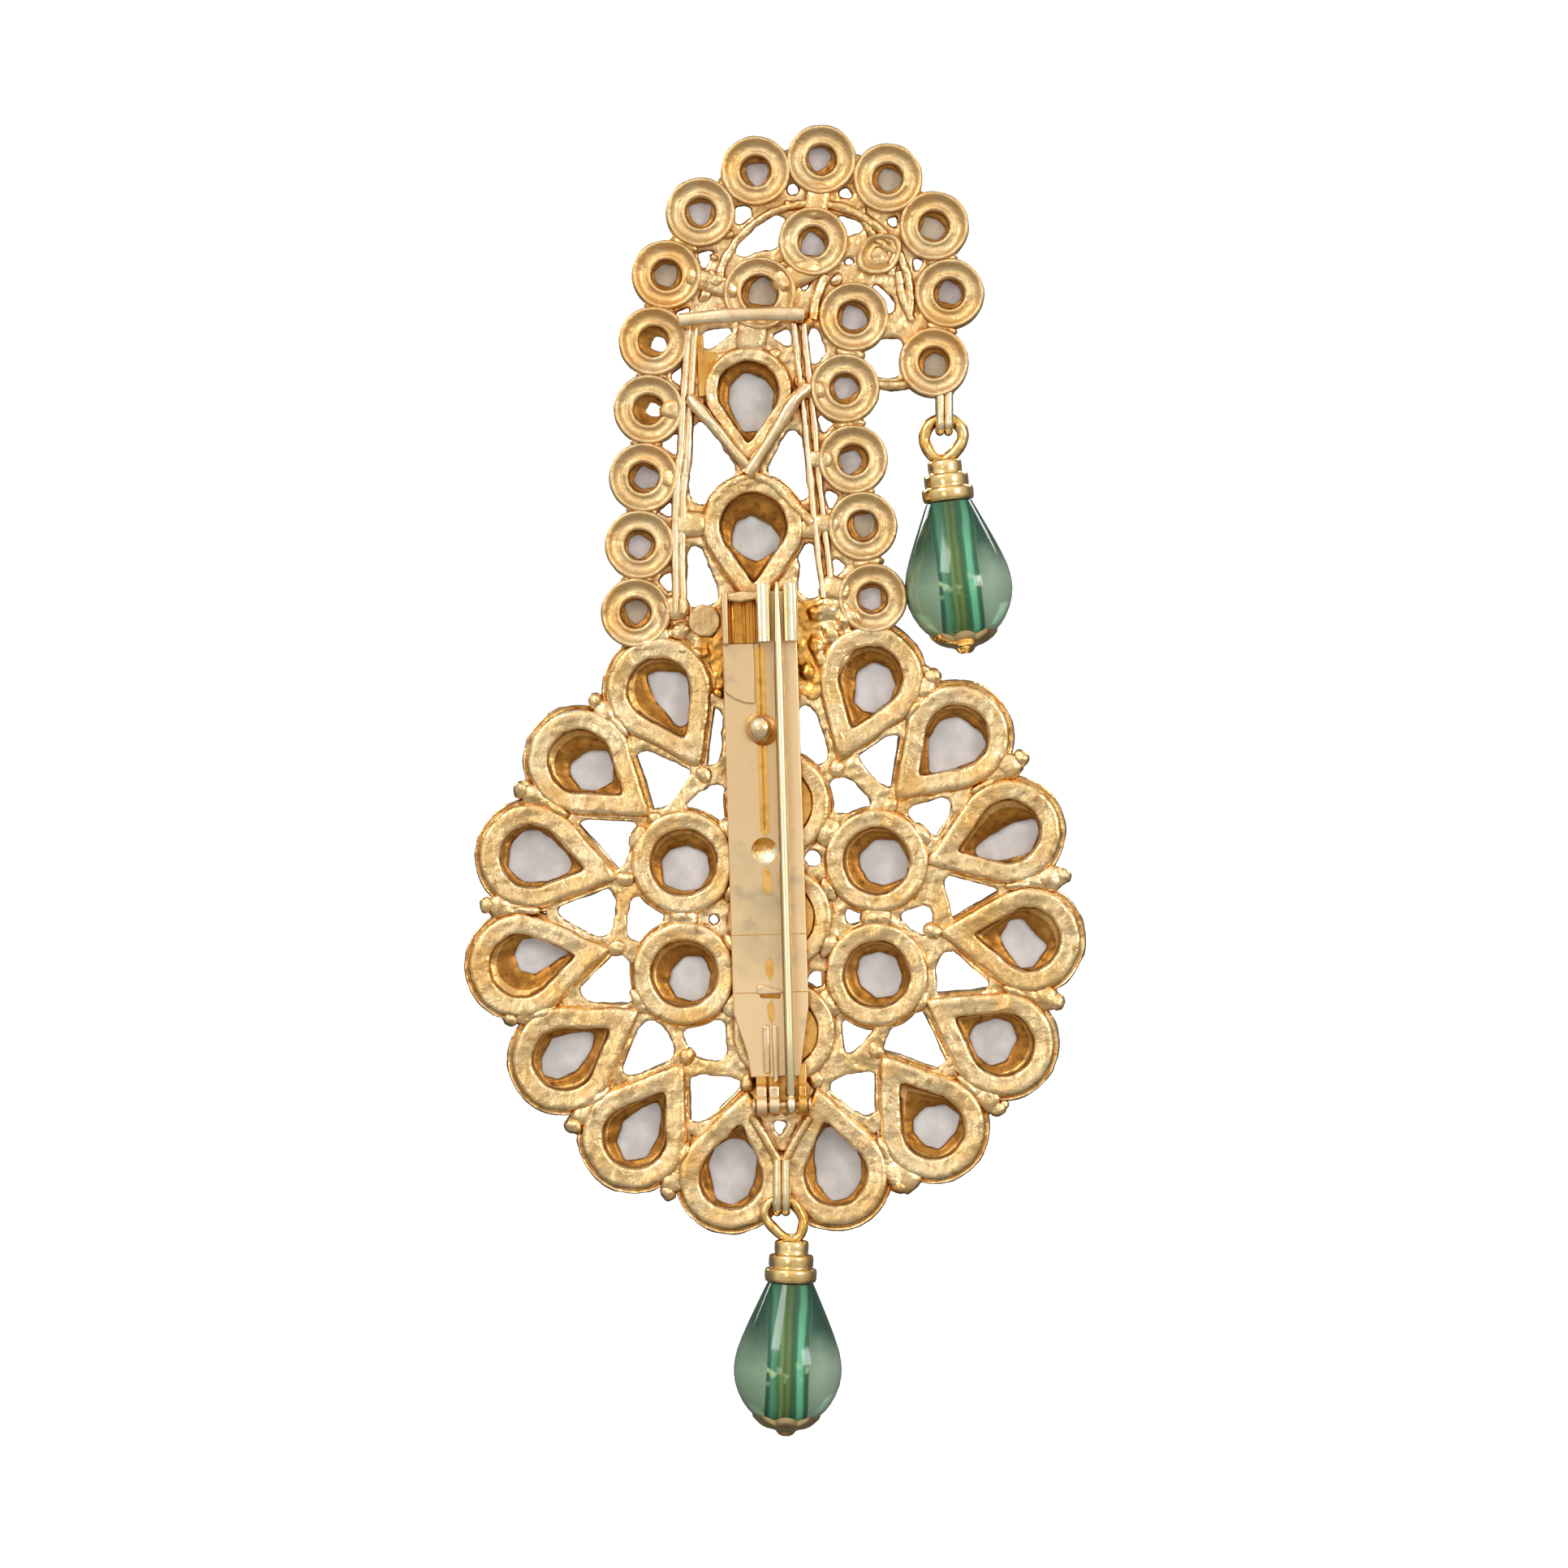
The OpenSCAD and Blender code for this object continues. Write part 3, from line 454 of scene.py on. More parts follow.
# angle and distance from the rosette's middle, then the window's corners
pear_cups = [
    (118.0, 25.5, [(-13.7, 17.2), (-12.5, 17.6), (-10.5, 17.4), (-9.5, 16.8), (-9.3, 12.7),
                   (-10.2, 11.9), (-11.3, 13.0), (-12.9, 14.9)]),
    (142.1, 25.1, [(-21.1, 8.3), (-19.3, 9.7), (-17.5, 9.7), (-16.9, 8.1), (-16.9, 6.7), (-18.5, 5.8),
                   (-20.1, 5.9), (-21.1, 7.3)]),
    (166.1, 25.3, [(-27.0, 0.4), (-25.9, 1.7), (-24.3, 1.9), (-22.7, 0.9), (-21.0, -1.1), (-21.1, -2.3),
                   (-23.3, -3.2), (-25.7, -3.2), (-27.3, -1.9)]),
    (190.5, 26.0, [(-26.7, -10.4), (-25.9, -9.0), (-23.9, -8.6), (-21.7, -9.8), (-21.2, -10.4),
                   (-22.9, -11.4), (-24.7, -12.4), (-26.2, -12.0)]),
    (213.1, 25.5, [(-24.0, -20.8), (-22.9, -18.8), (-20.9, -18.2), (-18.7, -18.1), (-19.1, -20.0),
                   (-20.5, -21.9), (-22.3, -22.8), (-23.9, -22.3)]),
    (236.3, 26.0, [(-16.5, -29.0), (-15.9, -27.0), (-14.5, -26.0), (-12.5, -24.9), (-12.1, -26.0),
                   (-12.5, -28.4), (-13.5, -30.5), (-15.7, -30.9)]),
    (259.2, 26.1, [(-7.5, -31.3), (-6.8, -29.6), (-5.2, -28.6), (-3.8, -28.8), (-2.7, -30.4),
                   (-2.8, -32.4), (-3.4, -34.3), (-5.2, -35.3), (-6.8, -34.5)]),
    (282.2, 25.9, [(3.0, -30.8), (3.2, -29.0), (4.1, -27.6), (5.0, -27.4), (7.0, -29.2), (7.6, -30.8),
                   (7.6, -32.8), (6.4, -34.5), (4.8, -34.9), (3.3, -33.2)]),
    (306.1, 25.6, [(12.8, -26.7), (14.0, -25.6), (16.0, -25.3), (17.4, -26.4), (17.1, -27.8),
                   (15.4, -29.8), (14.0, -29.3), (12.9, -28.0)]),
    (330.3, 25.2, [(18.3, -18.6), (19.0, -17.4), (20.8, -16.7), (22.4, -17.2), (23.1, -18.8),
                   (22.0, -21.0), (20.4, -21.5), (19.1, -20.4)]),
    (355.0, 24.6, [(21.3, -8.8), (22.4, -7.1), (23.6, -6.9), (24.9, -8.6), (26.1, -9.6), (24.8, -11.6),
                   (23.4, -11.8), (22.3, -10.4)]),
    (20.6, 24.1, [(18.7, -0.1), (20.4, 1.3), (22.8, 2.7), (24.8, 3.1), (25.3, 1.7), (24.4, -0.4),
                  (21.2, -1.2), (19.2, -0.8)]),
    (45.7, 25.0, [(14.3, 10.8), (15.4, 12.7), (17.2, 13.1), (19.4, 11.7), (20.1, 10.3), (18.8, 8.8),
                  (16.4, 7.8), (14.3, 7.4)]),
    (69.4, 25.3, [(6.9, 14.5), (7.2, 17.5), (8.8, 18.5), (10.4, 17.8), (11.1, 16.1), (10.5, 14.7),
                  (8.8, 13.4), (7.7, 13.7)])]
pattern = pear_casting(pear_edge, pear_hole, pear_reach, 0.03, pear_flare)
pieces = []
for angle, distance, corners in pear_cups:
    x, z = polar(angle, distance, *middle)
    pieces.append(copied(pattern, x, z, angle + 180))
    hole = pear_places(pear_hole + 0.03, pear_reach, corners_pear, x, z, angle + 180)
    window = ray_places(corners, corners_pear, angle + 180)
    pieces.append(well(hole, window, large_depths))
delete(pattern)
pear_group = joined("rosette_pear_cups", pieces)
cast_skin(pear_group, (0.36, 2.4), (0.16, 0.8))
fixed(pear_group, "frame")

# Two pear cups up the middle of the stem, tips down, held between the side wires.
# They are the same castings in two smaller sizes.
# x, z, radius of the opening and of the rim, how far the tip reaches, the window's corners
stem_cups = [
    (-3.52, 45.12, 3.04, 4.56, 1.71,
     [(-5.4, 45.5), (-4.8, 46.4), (-3.7, 47.2), (-2.0, 46.5), (-1.0, 45.2), (-1.2, 43.0),
      (-2.4, 41.4), (-4.0, 41.2), (-4.9, 42.6), (-5.5, 44.1)]),
    (-3.04, 31.84, 3.28, 5.28, 1.742,
     [(-5.1, 30.8), (-4.7, 32.3), (-3.2, 33.0), (-1.3, 32.0), (-0.4, 30.8), (-0.7, 29.5),
      (-2.6, 28.4), (-4.1, 29.0), (-5.1, 29.9)])]
pieces = []
for x, z, hole_size, edge, reach, corners in stem_cups:
    pieces.append(set_down(pear_casting(edge, hole_size, reach, 0.02), x, z, -90))
    hole = pear_places(hole_size + 0.03, reach, corners_pear, x, z, -90)
    pieces.append(well(hole, ray_places(corners, corners_pear, -90), large_depths, 0.25))
stem_pear_group = joined("stem_pear_cups", pieces)
cast_skin(stem_pear_group, (0.28, 1.8), (0.14, 0.7))
fixed(stem_pear_group, "frame")

# Twenty small round cups: a chain up the left side and over the arch, and a second
# up the right side. Each has a rounded rim, a dull dish and a thin inner ring.
small_edge, small_hole, small_front = 3.46, 1.5, 5.2
corners_small = 48
# x and z of each cup, growth of its rim and of its opening
small_cups = [
    (-14.64, 23.28, 0, 0), (-14.24, 30.00, 0, 0), (-13.84, 36.64, 0, 0),
    (-13.36, 43.36, 0, 0), (-12.88, 50.08, 0, 0), (-11.60, 56.64, 0, 0),
    (-8.24, 62.80, 0, 0), (-2.80, 66.88, 0, 0), (3.68, 68.00, 0, 0),
    (10.24, 66.16, 0, 0), (14.80, 61.44, 0, 0), (16.32, 54.80, 0, 0),
    (14.80, 48.00, 0, 0), (8.72, 24.72, 0, 0), (7.76, 31.84, 0, 0),
    (6.80, 38.40, 0, 0), (6.00, 45.44, 0, 0), (6.88, 52.48, 0, 0.1),
    (2.88, 59.92, 0, 0), (-2.40, 54.80, 0.16, 0.3)]
small_depths = (back + 1.0, back + 1.42, back + 1.55)
# solder has half closed two windows: their middles' offset and their size
half_closed = {3: (0.50, 0.0, 0.75), 4: (0.55, -0.20, 0.80)}
small_window = 1.22
stem_gold = gilt("dull stem gold", (0.79, 0.58, 0.31), (0.72, 0.48, 0.22), (0.60, 0.40, 0.17),
                 (0.66, 0.39, 0.14), polish=0.44, grain=0.75, reach=1.1 * mm, warmth=0.45)


def small_rows(hole, edge):
    """Half section of a small cup, drawn as a large one's is."""
    back_rows = [(0.0, 1.1), (0.0, 0.62), (0.07, 0.46), (0.20, 0.39), (0.34, 0.41),
                 (0.45, 0.52), (0.60, 0.58), (0.86, 0.54), (1.10, 0.40), (1.28, 0.20),
                 (1.40, 0.07), (1.52, 0.0), (1.64, 0.02), (1.72, 0.12), (1.77, 0.33),
                 (1.78, 0.6)]
    wide = (edge - hole) / 1.78
    rows = [(hole + out * wide, back + depth) for out, depth in back_rows]
    seat = edge - 0.66
    front_rows = [(edge, -0.35), (edge - 0.06, -0.12), (edge - 0.2, -0.02),
                  (seat + 0.14, -0.02), (seat + 0.02, -0.12), (seat, -0.3)]
    rows += [(size, small_front + depth) for size, depth in front_rows]
    return rows + [(seat, back + 1.58), (hole, back + 1.56), (hole, back + 1.1)]


def uneven(count, x, z, size, seed):
    """Corners of a small opening filed by hand."""
    corners = []
    for step in range(count):
        far = size * (1 + 0.16 * math.sin(seed * 7.1 + step * 2.9))
        angle = 360 * (step + 0.3 * math.sin(seed + step * 5.3)) / count
        corners.append(polar(angle, far, x, z))
    return corners


pieces = []
for number, (x, z, more, wider) in enumerate(small_cups):
    rows = small_rows(small_hole + wider, small_edge + more)
    cup = cup_casting(round_places(rows[0][0], corners_small), rows, stem_gold)
    pieces.append(set_down(cup, x, z, number * 53))
    hole = round_places(small_hole + wider + 0.02, corners_small, x, z)
    shift_x = 0.2 * math.sin(number * 3.7)
    shift_z = 0.2 * math.cos(number * 2.3)
    size = small_window + wider * 0.9
    if number in half_closed:
        shift_x, shift_z, size = half_closed[number]
    corners = uneven(7, x + shift_x, z + shift_z, size, number)
    pieces.append(well(hole, ray_places(corners, corners_small), small_depths, 0.4))
small_group = joined("stem_small_cups", pieces)
cast_skin(small_group, (0.18, 1.4))
fixed(small_group, "frame")

# Cast web, granules and solder of the rosette. The web ties the pear tips to the round
# cups and is pierced between them; a granule closes each notch at the rim.


def soften(piece, edge, steps=3):
    """Rounds a piece's edges."""
    modified(piece, "BEVEL", width=edge * mm, segments=steps, limit_method="ANGLE")


def plate(places, near, far, edge=0.0, metal=cast_gold):
    """A flat sheet between two depths, its edges softened if edge isn't 0."""
    sheet = outline(places, near)
    bpy.ops.mesh.edge_face_add()
    bpy.ops.mesh.extrude_region_move(
        TRANSFORM_OT_translate={"value": (0, (far - near) * mm, 0)})
    finish(sheet, metal)
    if edge:
        soften(sheet, edge)
    return sheet


def cut_away(piece, tool):
    """Cuts the tool's shape out; the cut faces keep the tool's own metal."""
    modified(piece, "BOOLEAN", operation="DIFFERENCE", solver="EXACT",
             material_mode="TRANSFER", object=tool)
    delete(tool)


def grown(places, more):
    """An outline let out by more millimetres all round its middle."""
    middle_x = sum(x for x, z in places) / len(places)
    middle_z = sum(z for x, z in places) / len(places)
    wider = []
    for x, z in places:
        far = math.dist((x, z), (middle_x, middle_z))
        ratio = (far + more) / far
        wider.append((middle_x + (x - middle_x) * ratio, middle_z + (z - middle_z) * ratio))
    return wider


def melted(piece, grain, *metals):
    """Runs a casting's parts into one, soft at every edge."""
    modified(piece, "REMESH", mode="VOXEL", voxel_size=grain * mm)
    modified(piece, "SMOOTH", factor=0.5, iterations=5)
    edit(piece)
    return finish(piece, *metals, angle=80)


def pierced(border, openings, near, far, grain):
    """A cast web with openings: sawn out, then melted soft."""
    web_sheet = plate(border, near, far)
    tools = [plate(places, near - 1, far + 1) for places in openings]
    cut_away(web_sheet, joined("openings", tools))
    return melted(web_sheet, grain, cast_gold)


def wire(places, radius, depth=0.0, metal=cast_gold, closed=False):
    """Round wire through places, uneven as if drawn by hand; a place may give its depth."""
    line = bpy.data.curves.new("wire", "CURVE")
    line.dimensions = "3D"
    line.bevel_depth = radius * mm
    line.bevel_resolution = 4
    line.use_fill_caps = True
    line.resolution_u = 8
    run = line.splines.new("BEZIER")
    run.bezier_points.add(len(places) - 1)
    run.use_cyclic_u = closed
    for number, (point, (x, z, *own)) in enumerate(zip(run.bezier_points, places)):
        point.co = (x * mm, (own or [depth])[0] * mm, z * mm)
        point.handle_left_type = point.handle_right_type = "AUTO"
        point.radius = 1 + 0.07 * math.sin(number * 2.1 + x)
    thing = bpy.data.objects.new("wire", line)
    bpy.context.collection.objects.link(thing)
    take(thing)
    bpy.ops.object.convert(target="MESH")
    edit(thing)
    return finish(thing, metal)


def started(primitive, **sizes):
    """A primitive at its size and place, ready to shape."""
    deselect()
    primitive(**sizes)
    piece = bpy.context.object
    bpy.ops.object.transform_apply(location=True, rotation=True, scale=True)
    edit(piece)
    return piece


lump = started(bpy.ops.mesh.primitive_ico_sphere_add, subdivisions=3, radius=mm)
bpy.ops.transform.vertex_random(offset=0.05 * mm, uniform=1.0, seed=5)
finish(lump, cast_gold, angle=80)
web = started(bpy.ops.mesh.primitive_cube_add, size=2 * mm)
bpy.ops.mesh.subdivide(number_cuts=3, smoothness=0.55)
finish(web, cast_gold, angle=80)


def solder(x, z, across, depth, along, turn=0.0, y=back + 0.75):
    """A lump of solder with its three half sizes."""
    return copied(lump, x, z, turn, y, (across, depth, along))


def bearing(x0, z0, x1, z1):
    return math.degrees(math.atan2(z1 - z0, x1 - x0))


def bridge(x0, z0, x1, z1, width, y=back + 1.1, depth=0.7):
    """A cast web between two places."""
    size = (math.dist((x0, z0), (x1, z1)) / 2 + 0.3, depth, width / 2)
    return copied(web, (x0 + x1) / 2, (z0 + z1) / 2, bearing(x0, z0, x1, z1), y, size)


# corners of each opening between the cups, then x, z and radius of the round ones
web_openings = [
    [(-21.0, 2.9), (-14.2, 2.7), (-16.3, -2.6)],
    [(-23.4, -5.9), (-17.7, -3.7), (-16.7, -4.3), (-17.1, -8.3), (-18.2, -8.7)],
    [(-15.0, -4.2), (-11.7, -6.7), (-13.8, -9.3), (-15.5, -8.7)],
    [(-16.9, -9.9), (-15.0, -11.5), (-14.9, -15.4), (-20.9, -14.7)],
    [(-13.5, -16.6), (-11.8, -17.8), (-10.6, -20.6), (-15.7, -22.6), (-16.3, -21.9)],
    [(-10.2, -18.1), (-5.8, -16.7), (-5.8, -20.8), (-8.5, -20.6)],
    [(-9.4, -22.4), (-4.9, -22.7), (-3.2, -24.0), (-9.3, -27.6)],
    [(5.8, -16.7), (9.1, -17.5), (6.1, -20.7)],
    [(10.7, -17.5), (13.8, -15.9), (16.2, -20.3), (15.8, -21.8), (9.7, -20.5)],
    [(4.7, -22.9), (9.1, -21.9), (9.1, -26.9), (4.3, -24.0)],
    [(15.3, -10.3), (17.1, -10.1), (21.0, -13.8), (15.1, -14.9)],
    [(15.7, -2.2), (21.9, -4.1), (17.0, -7.7)],
    [(11.1, -6.7), (14.3, -5.5), (14.7, -7.5), (13.9, -8.6)],
    [(11.8, 3.8), (16.7, 5.3), (15.3, 0.9)],
    [(7.1, 9.3), (11.9, 11.7), (10.7, 5.4)],
    [(4.5, 6.9), (6.3, 7.0), (9.0, 4.2), (5.0, 3.4)],
    [(-10.1, 4.3), (-6.1, 6.7), (-5.7, 2.2)],
    [(-14.9, 10.1), (-10.9, 8.5), (-8.9, 8.1), (-11.3, 4.5), (-13.5, 3.7)],
    [(-7.0, 14.7), (-6.3, 13.9), (-6.2, 8.5), (-8.3, 8.1)],
    [(2.3, 15.3), (4.6, 8.9), (3.3, 8.2), (1.3, 9.2), (1.2, 12.9)],
    [(-1.2, -27.0), (0.4, -27.0), (-0.4, -28.4)]]
small_openings = [(2.9, -0.9, 0.85), (3.2, -12.9, 0.85), (6.9, -6.6, 0.85), (-6.9, -7.0, 0.5)]
web_near, web_far, web_radius, web_grain = back + 0.55, back + 1.65, 23.2, 0.2
# radii of the openings under the round and the pear cups, and of the ring of pear tips
under_round, under_pear, tips_radius = 4.3, 4.2, 16.2
openings = [round_places(size, 20, x, z) for x, z, size in small_openings]
openings += [grown(ray_places(corners, 36), 0.10) for corners in web_openings]
openings += [round_places(under_round, 32, x, z) for x, z, corners in round_cups]
for angle, distance, corners in pear_cups:
    x, z = polar(angle, distance, *middle)
    openings.append(pear_places(under_pear, pear_reach, 40, x, z, angle + 180))
pieces = [pierced(round_places(web_radius, 90, *middle), openings, web_near, web_far, web_grain)]
# solder where the round cups touch each other, the middle one and the pears' tips
outer_rounds = [(x, z) for x, z, corners in round_cups[1:]]
outer_rounds.sort(key=lambda place: bearing(*middle, *place))
for (x, z), (next_x, next_z) in zip(outer_rounds, outer_rounds[1:] + outer_rounds[:1]):
    turn = bearing(x, z, next_x, next_z)
    pieces.append(solder((x + next_x) / 2, (z + next_z) / 2, 0.8, 0.7, 1.5, turn))
    pieces.append(bridge(x + (next_x - x) * 0.44, z + (next_z - z) * 0.44,
                         x + (next_x - x) * 0.56, z + (next_z - z) * 0.56, 2.4))
    turn = bearing(*middle, x, z)
    pieces.append(solder((x + middle[0]) / 2, (z + middle[1]) / 2, 0.8, 0.7, 1.4, turn))
    pieces.append(solder(*polar(turn, tips_radius, *middle), 0.75, 0.6, 1.3, turn))
for angle, distance, corners in pear_cups:
    pieces.append(solder(*polar(angle, distance - 9.5, *middle), 1.0, 0.6, 0.85, angle))
# solder between the pears, but for the pair that the stem stands on
for (angle, distance, corners), (after, far, corners) in zip(pear_cups, pear_cups[1:]):
    between = (angle + after) / 2 if after > angle else (angle + after + 360) / 2
    joint = (distance + far) / 2
    pieces.append(solder(*polar(between, joint - 0.6, *middle), 1.5, 0.75, 0.55, between))
    pieces.append(solder(*polar(between, joint + 1.2, *middle), 0.9, 0.7, 0.6, between,
                         back + 0.9))
# x and z of each granule, its size and how far its small neighbour lies to the right
granules = [
    (-18.56, 14.64, 0.95, 0.0), (-26.00, 5.84, 1.05, 0.5), (-29.44, -5.52, 0.9, 0.0),
    (-27.04, -16.72, 1.0, 0.6), (-20.80, -27.36, 1.1, 0.7), (-11.44, -34.08, 0.95, 0.0),
    (11.52, -33.28, 1.05, 0.6), (21.28, -25.76, 0.95, 0.5), (27.12, -15.12, 0.9, 0.0),
    (27.68, -2.72, 1.0, -0.5), (23.52, 8.96, 1.0, 0.0), (14.72, 17.04, 1.05, -0.7)]
for x, z, size, beside in granules:
    turn = bearing(x, z, *middle)
    x, z = polar(turn, 0.10, x, z)
    pieces.append(solder(x, z, size * 0.8, size * 0.75, size * 0.9, turn, back + 0.8))
    pieces.append(solder(*polar(turn, 1.4, x, z), 1.5, 0.75, 1.3, turn, back + 0.85))
    pieces.append(solder(*polar(turn, 3.1, x, z), 1.6, 0.65, 0.8, turn, back + 0.85))
    if beside:
        pieces.append(solder(x + beside, z + 0.9 * abs(beside), 0.55, 0.5, 0.55, turn))
# the small square tab in the notch at the lower right
pieces.append(bridge(10.9, -31.6, 12.6, -32.9, 2.2, back + 0.85, 0.6))
ring_group = joined("rosette_ring_and_solder", pieces)
cast_skin(ring_group, (0.45, 1.5), (0.22, 0.7))
fixed(ring_group, "frame")

# Wires and webs of the stem, soldered to its cups: a pierced cast web, two pairs of side
# wires, two bars crossed below the upper pear, the arch wire, short wires and a star.
polished = gilt("polished gold", (1.0, 0.80, 0.50), (0.92, 0.65, 0.34), (0.80, 0.54, 0.28),
                (0.52, 0.21, 0.045), polish=0.22, grain=0.18, reach=0.9 * mm)
# the web reaches from cup to cup, then down to the foot
left_and_arch, right_chain = small_cups[:13], small_cups[13:18]
stem_border = [cup[:2] for cup in left_and_arch] + [(11.4, 45.4), (8.5, 45.4)]
stem_border += [cup[:2] for cup in reversed(right_chain)] + [(8.0, 21.8), (-14.0, 21.8)]
stem_openings = [
    [(-8.7, 59.1), (-6.6, 59.2), (-8.0, 56.8)],
    [(-4.9, 63.5), (-3.4, 63.6), (-3.0, 62.6), (-4.4, 61.4), (-5.0, 62.1)],
    [(0.3, 65.8), (1.4, 65.8), (1.6, 64.6), (0.3, 64.4)],
    [(-5.4, 57.9), (-4.3, 59.9), (-2.1, 61.9), (0.9, 63.0), (-0.5, 60.9), (-0.6, 59.4),
     (-3.3, 59.0)],
    [(-10.9, 53.0), (-9.0, 53.8), (-9.4, 52.8), (-10.6, 52.3)],
    [(1.3, 56.3), (3.0, 56.4), (1.8, 54.7)],
    [(5.3, 65.0), (6.3, 65.5), (7.0, 64.2), (5.6, 64.2)],
    [(5.2, 62.7), (7.8, 61.6), (7.5, 61.0), (6.1, 60.5)],
    [(5.7, 57.6), (6.3, 58.6), (7.3, 57.6)], [(9.9, 62.1), (11.3, 62.7), (11.2, 61.0)],
    [(12.5, 58.5), (13.9, 58.2), (13.0, 56.3)],
    [(8.5, 55.7), (9.1, 55.8), (11.0, 53.8), (10.7, 53.0), (9.9, 53.0)],
    [(7.2, 48.5), (9.5, 50.2), (11.8, 50.4), (11.3, 46.6), (9.4, 46.6)],
    [(2.4, 51.7), (3.4, 51.5), (4.2, 49.1), (3.2, 47.7), (2.5, 47.6)],
    [(3.3, 43.3), (5.1, 42.1), (3.7, 40.5)], [(3.9, 35.7), (5.5, 34.9), (4.5, 32.9)],
    [(4.7, 29.1), (6.2, 27.9), (4.9, 26.4)],
    [(-11.4, 46.6), (-9.7, 48.1), (-9.7, 45.3)], [(-12.5, 40.1), (-10.2, 41.3), (-10.4, 38.5)],
    [(-12.6, 33.4), (-11.0, 34.5), (-11.0, 32.5)], [(-12.6, 26.5), (-11.0, 27.7), (-11.0, 24.9)],
    [(-8.1, 51.1), (-4.4, 51.5), (-7.8, 49.1)], [(-1.5, 50.7), (0.7, 51.6), (0.8, 49.2)],
    [(-8.9, 43.0), (-8.3, 42.9), (-4.6, 37.2), (-7.8, 33.9), (-9.3, 33.9)],
    [(1.2, 42.6), (1.8, 39.6), (2.6, 34.0), (1.5, 34.5), (-1.7, 37.2)],
    [(-9.3, 30.5), (-8.3, 29.9), (-6.2, 24.3), (-9.6, 23.8)],
    [(1.8, 30.5), (3.2, 30.2), (3.8, 24.8), (1.4, 24.6), (1.5, 28.5)]]
# how much smaller than their rims the openings under the stem's pears are, and the radius
# of those under its small cups
under_stem_pear, under_small = 1.0, 2.5
openings = []
for corners in stem_openings:
    wide = max(x for x, z in corners) - min(x for x, z in corners)
    openings.append(grown(ray_places(corners, 40), 0.10 if wide > 2.4 else -0.08))
openings += [round_places(under_small, 28, *cup[:2]) for cup in small_cups]
for x, z, hole_size, edge, reach, corners in stem_cups:
    openings.append(pear_places(edge - under_stem_pear, reach, 40, x, z, -90))
pieces = [pierced(stem_border, openings, back + 0.75, back + 1.9, grain=0.22)]
# each pair of side wires: its route, how far they lie from its middle, their radius
for run, apart, thick in (
        ([(-9.12, 51.68), (-9.50, 46.0), (-9.80, 40.0), (-10.35, 33.5), (-10.3, 23.3)], 0.34, 0.45),
        ([(1.45, 51.8), (1.95, 47.0), (2.55, 41.5), (3.25, 34.5), (4.35, 24.8)], 0.46, 0.36)):
    for side in (-1, 1):
        shifted = [(x + side * apart, z) for x, z in run]
        pieces.append(wire(shifted, thick, back + 0.55 + 0.08 * side, polished))
# the crossed bars: x, z and depth along each
pieces.append(wire([(-9.3, 44.4, 2.75), (-8.6, 43.6, 2.35), (-5.9, 40.4, 2.3),
                    (-3.0, 37.0, 2.55)], 0.64, metal=polished))
pieces.append(wire([(2.2, 45.6, 2.7), (1.1, 44.3, 2.2), (-1.2, 40.6, 2.05),
                    (-3.6, 36.9, 2.1)], 0.66, metal=polished))
pieces.append(wire([(-3.1, 36.9), (-1.2, 36.0), (1.0, 33.9), (2.7, 32.1)], 0.55, back + 0.4))
pieces.append(wire([(-3.3, 36.8), (-5.3, 36.0), (-7.2, 34.2)], 0.5, back + 0.45))
arch_x, arch_z, arch_radius = 2.9, 54.1, 9.6
bow = [polar(turn, arch_radius, arch_x, arch_z) for turn in range(-9, 170, 11)]
pieces.append(wire(bow, 0.48, back + 0.75))
# x, z of both ends and radius of the short wires between the cups
short_wires = [
    (4.10, 56.60, 2.90, 52.30, 0.62), (2.72, 52.08, 1.52, 51.28, 0.6),
    (7.70, 63.20, 8.48, 60.88, 0.45), (8.48, 60.88, 11.12, 58.88, 0.5),
    (11.12, 58.88, 10.56, 56.64, 0.5), (8.6, 45.92, 12.6, 45.92, 0.5),
    (11.3, 56.9, 12.6, 52.2, 0.5)]
for x0, z0, x1, z1, thick in short_wires:
    bend = ((x0 + x1) / 2 + 0.12 * (z1 - z0) * 0.5, (z0 + z1) / 2 - 0.12 * (x1 - x0) * 0.5)
    pieces.append(wire([(x0, z0), bend, (x1, z1)], thick, back + 0.85))
# x, z of both ends and width of the cast webs
necks = [
    (2.88, 57.3, -0.3, 56.0, 1.9), (3.1, 62.8, 3.5, 65.1, 2.0), (-5.3, 55.2, -8.9, 56.4, 1.6),
    (-2.9, 52.2, -3.3, 49.4, 2.4), (-11.5, 36.6, -9.9, 36.6, 1.5),
    (-11.6, 43.4, -9.7, 43.2, 1.5), (-11.3, 30.0, -10.1, 30.0, 1.5),
    (-11.8, 23.6, -10.0, 24.0, 1.9), (4.9, 31.9, 3.3, 32.2, 1.6), (4.2, 38.4, 2.7, 38.5, 1.5),
    (3.5, 45.3, 2.2, 45.2, 1.5), (5.9, 25.3, 4.2, 25.9, 1.9), (-10.4, 32.0, -8.0, 32.1, 2.0),
    (3.3, 31.6, 1.8, 31.7, 1.7)]
for x0, z0, x1, z1, width in necks:
    pieces.append(bridge(x0, z0, x1, z1, width, back + 1.0, 0.62))
for chain in (left_and_arch, right_chain):
    for (x0, z0, more, wider), (x1, z1, more, wider) in zip(chain, chain[1:]):
        pieces.append(solder((x0 + x1) / 2, (z0 + z1) / 2, 0.8, 0.7, 1.6,
                             bearing(x0, z0, x1, z1), back + 0.95))
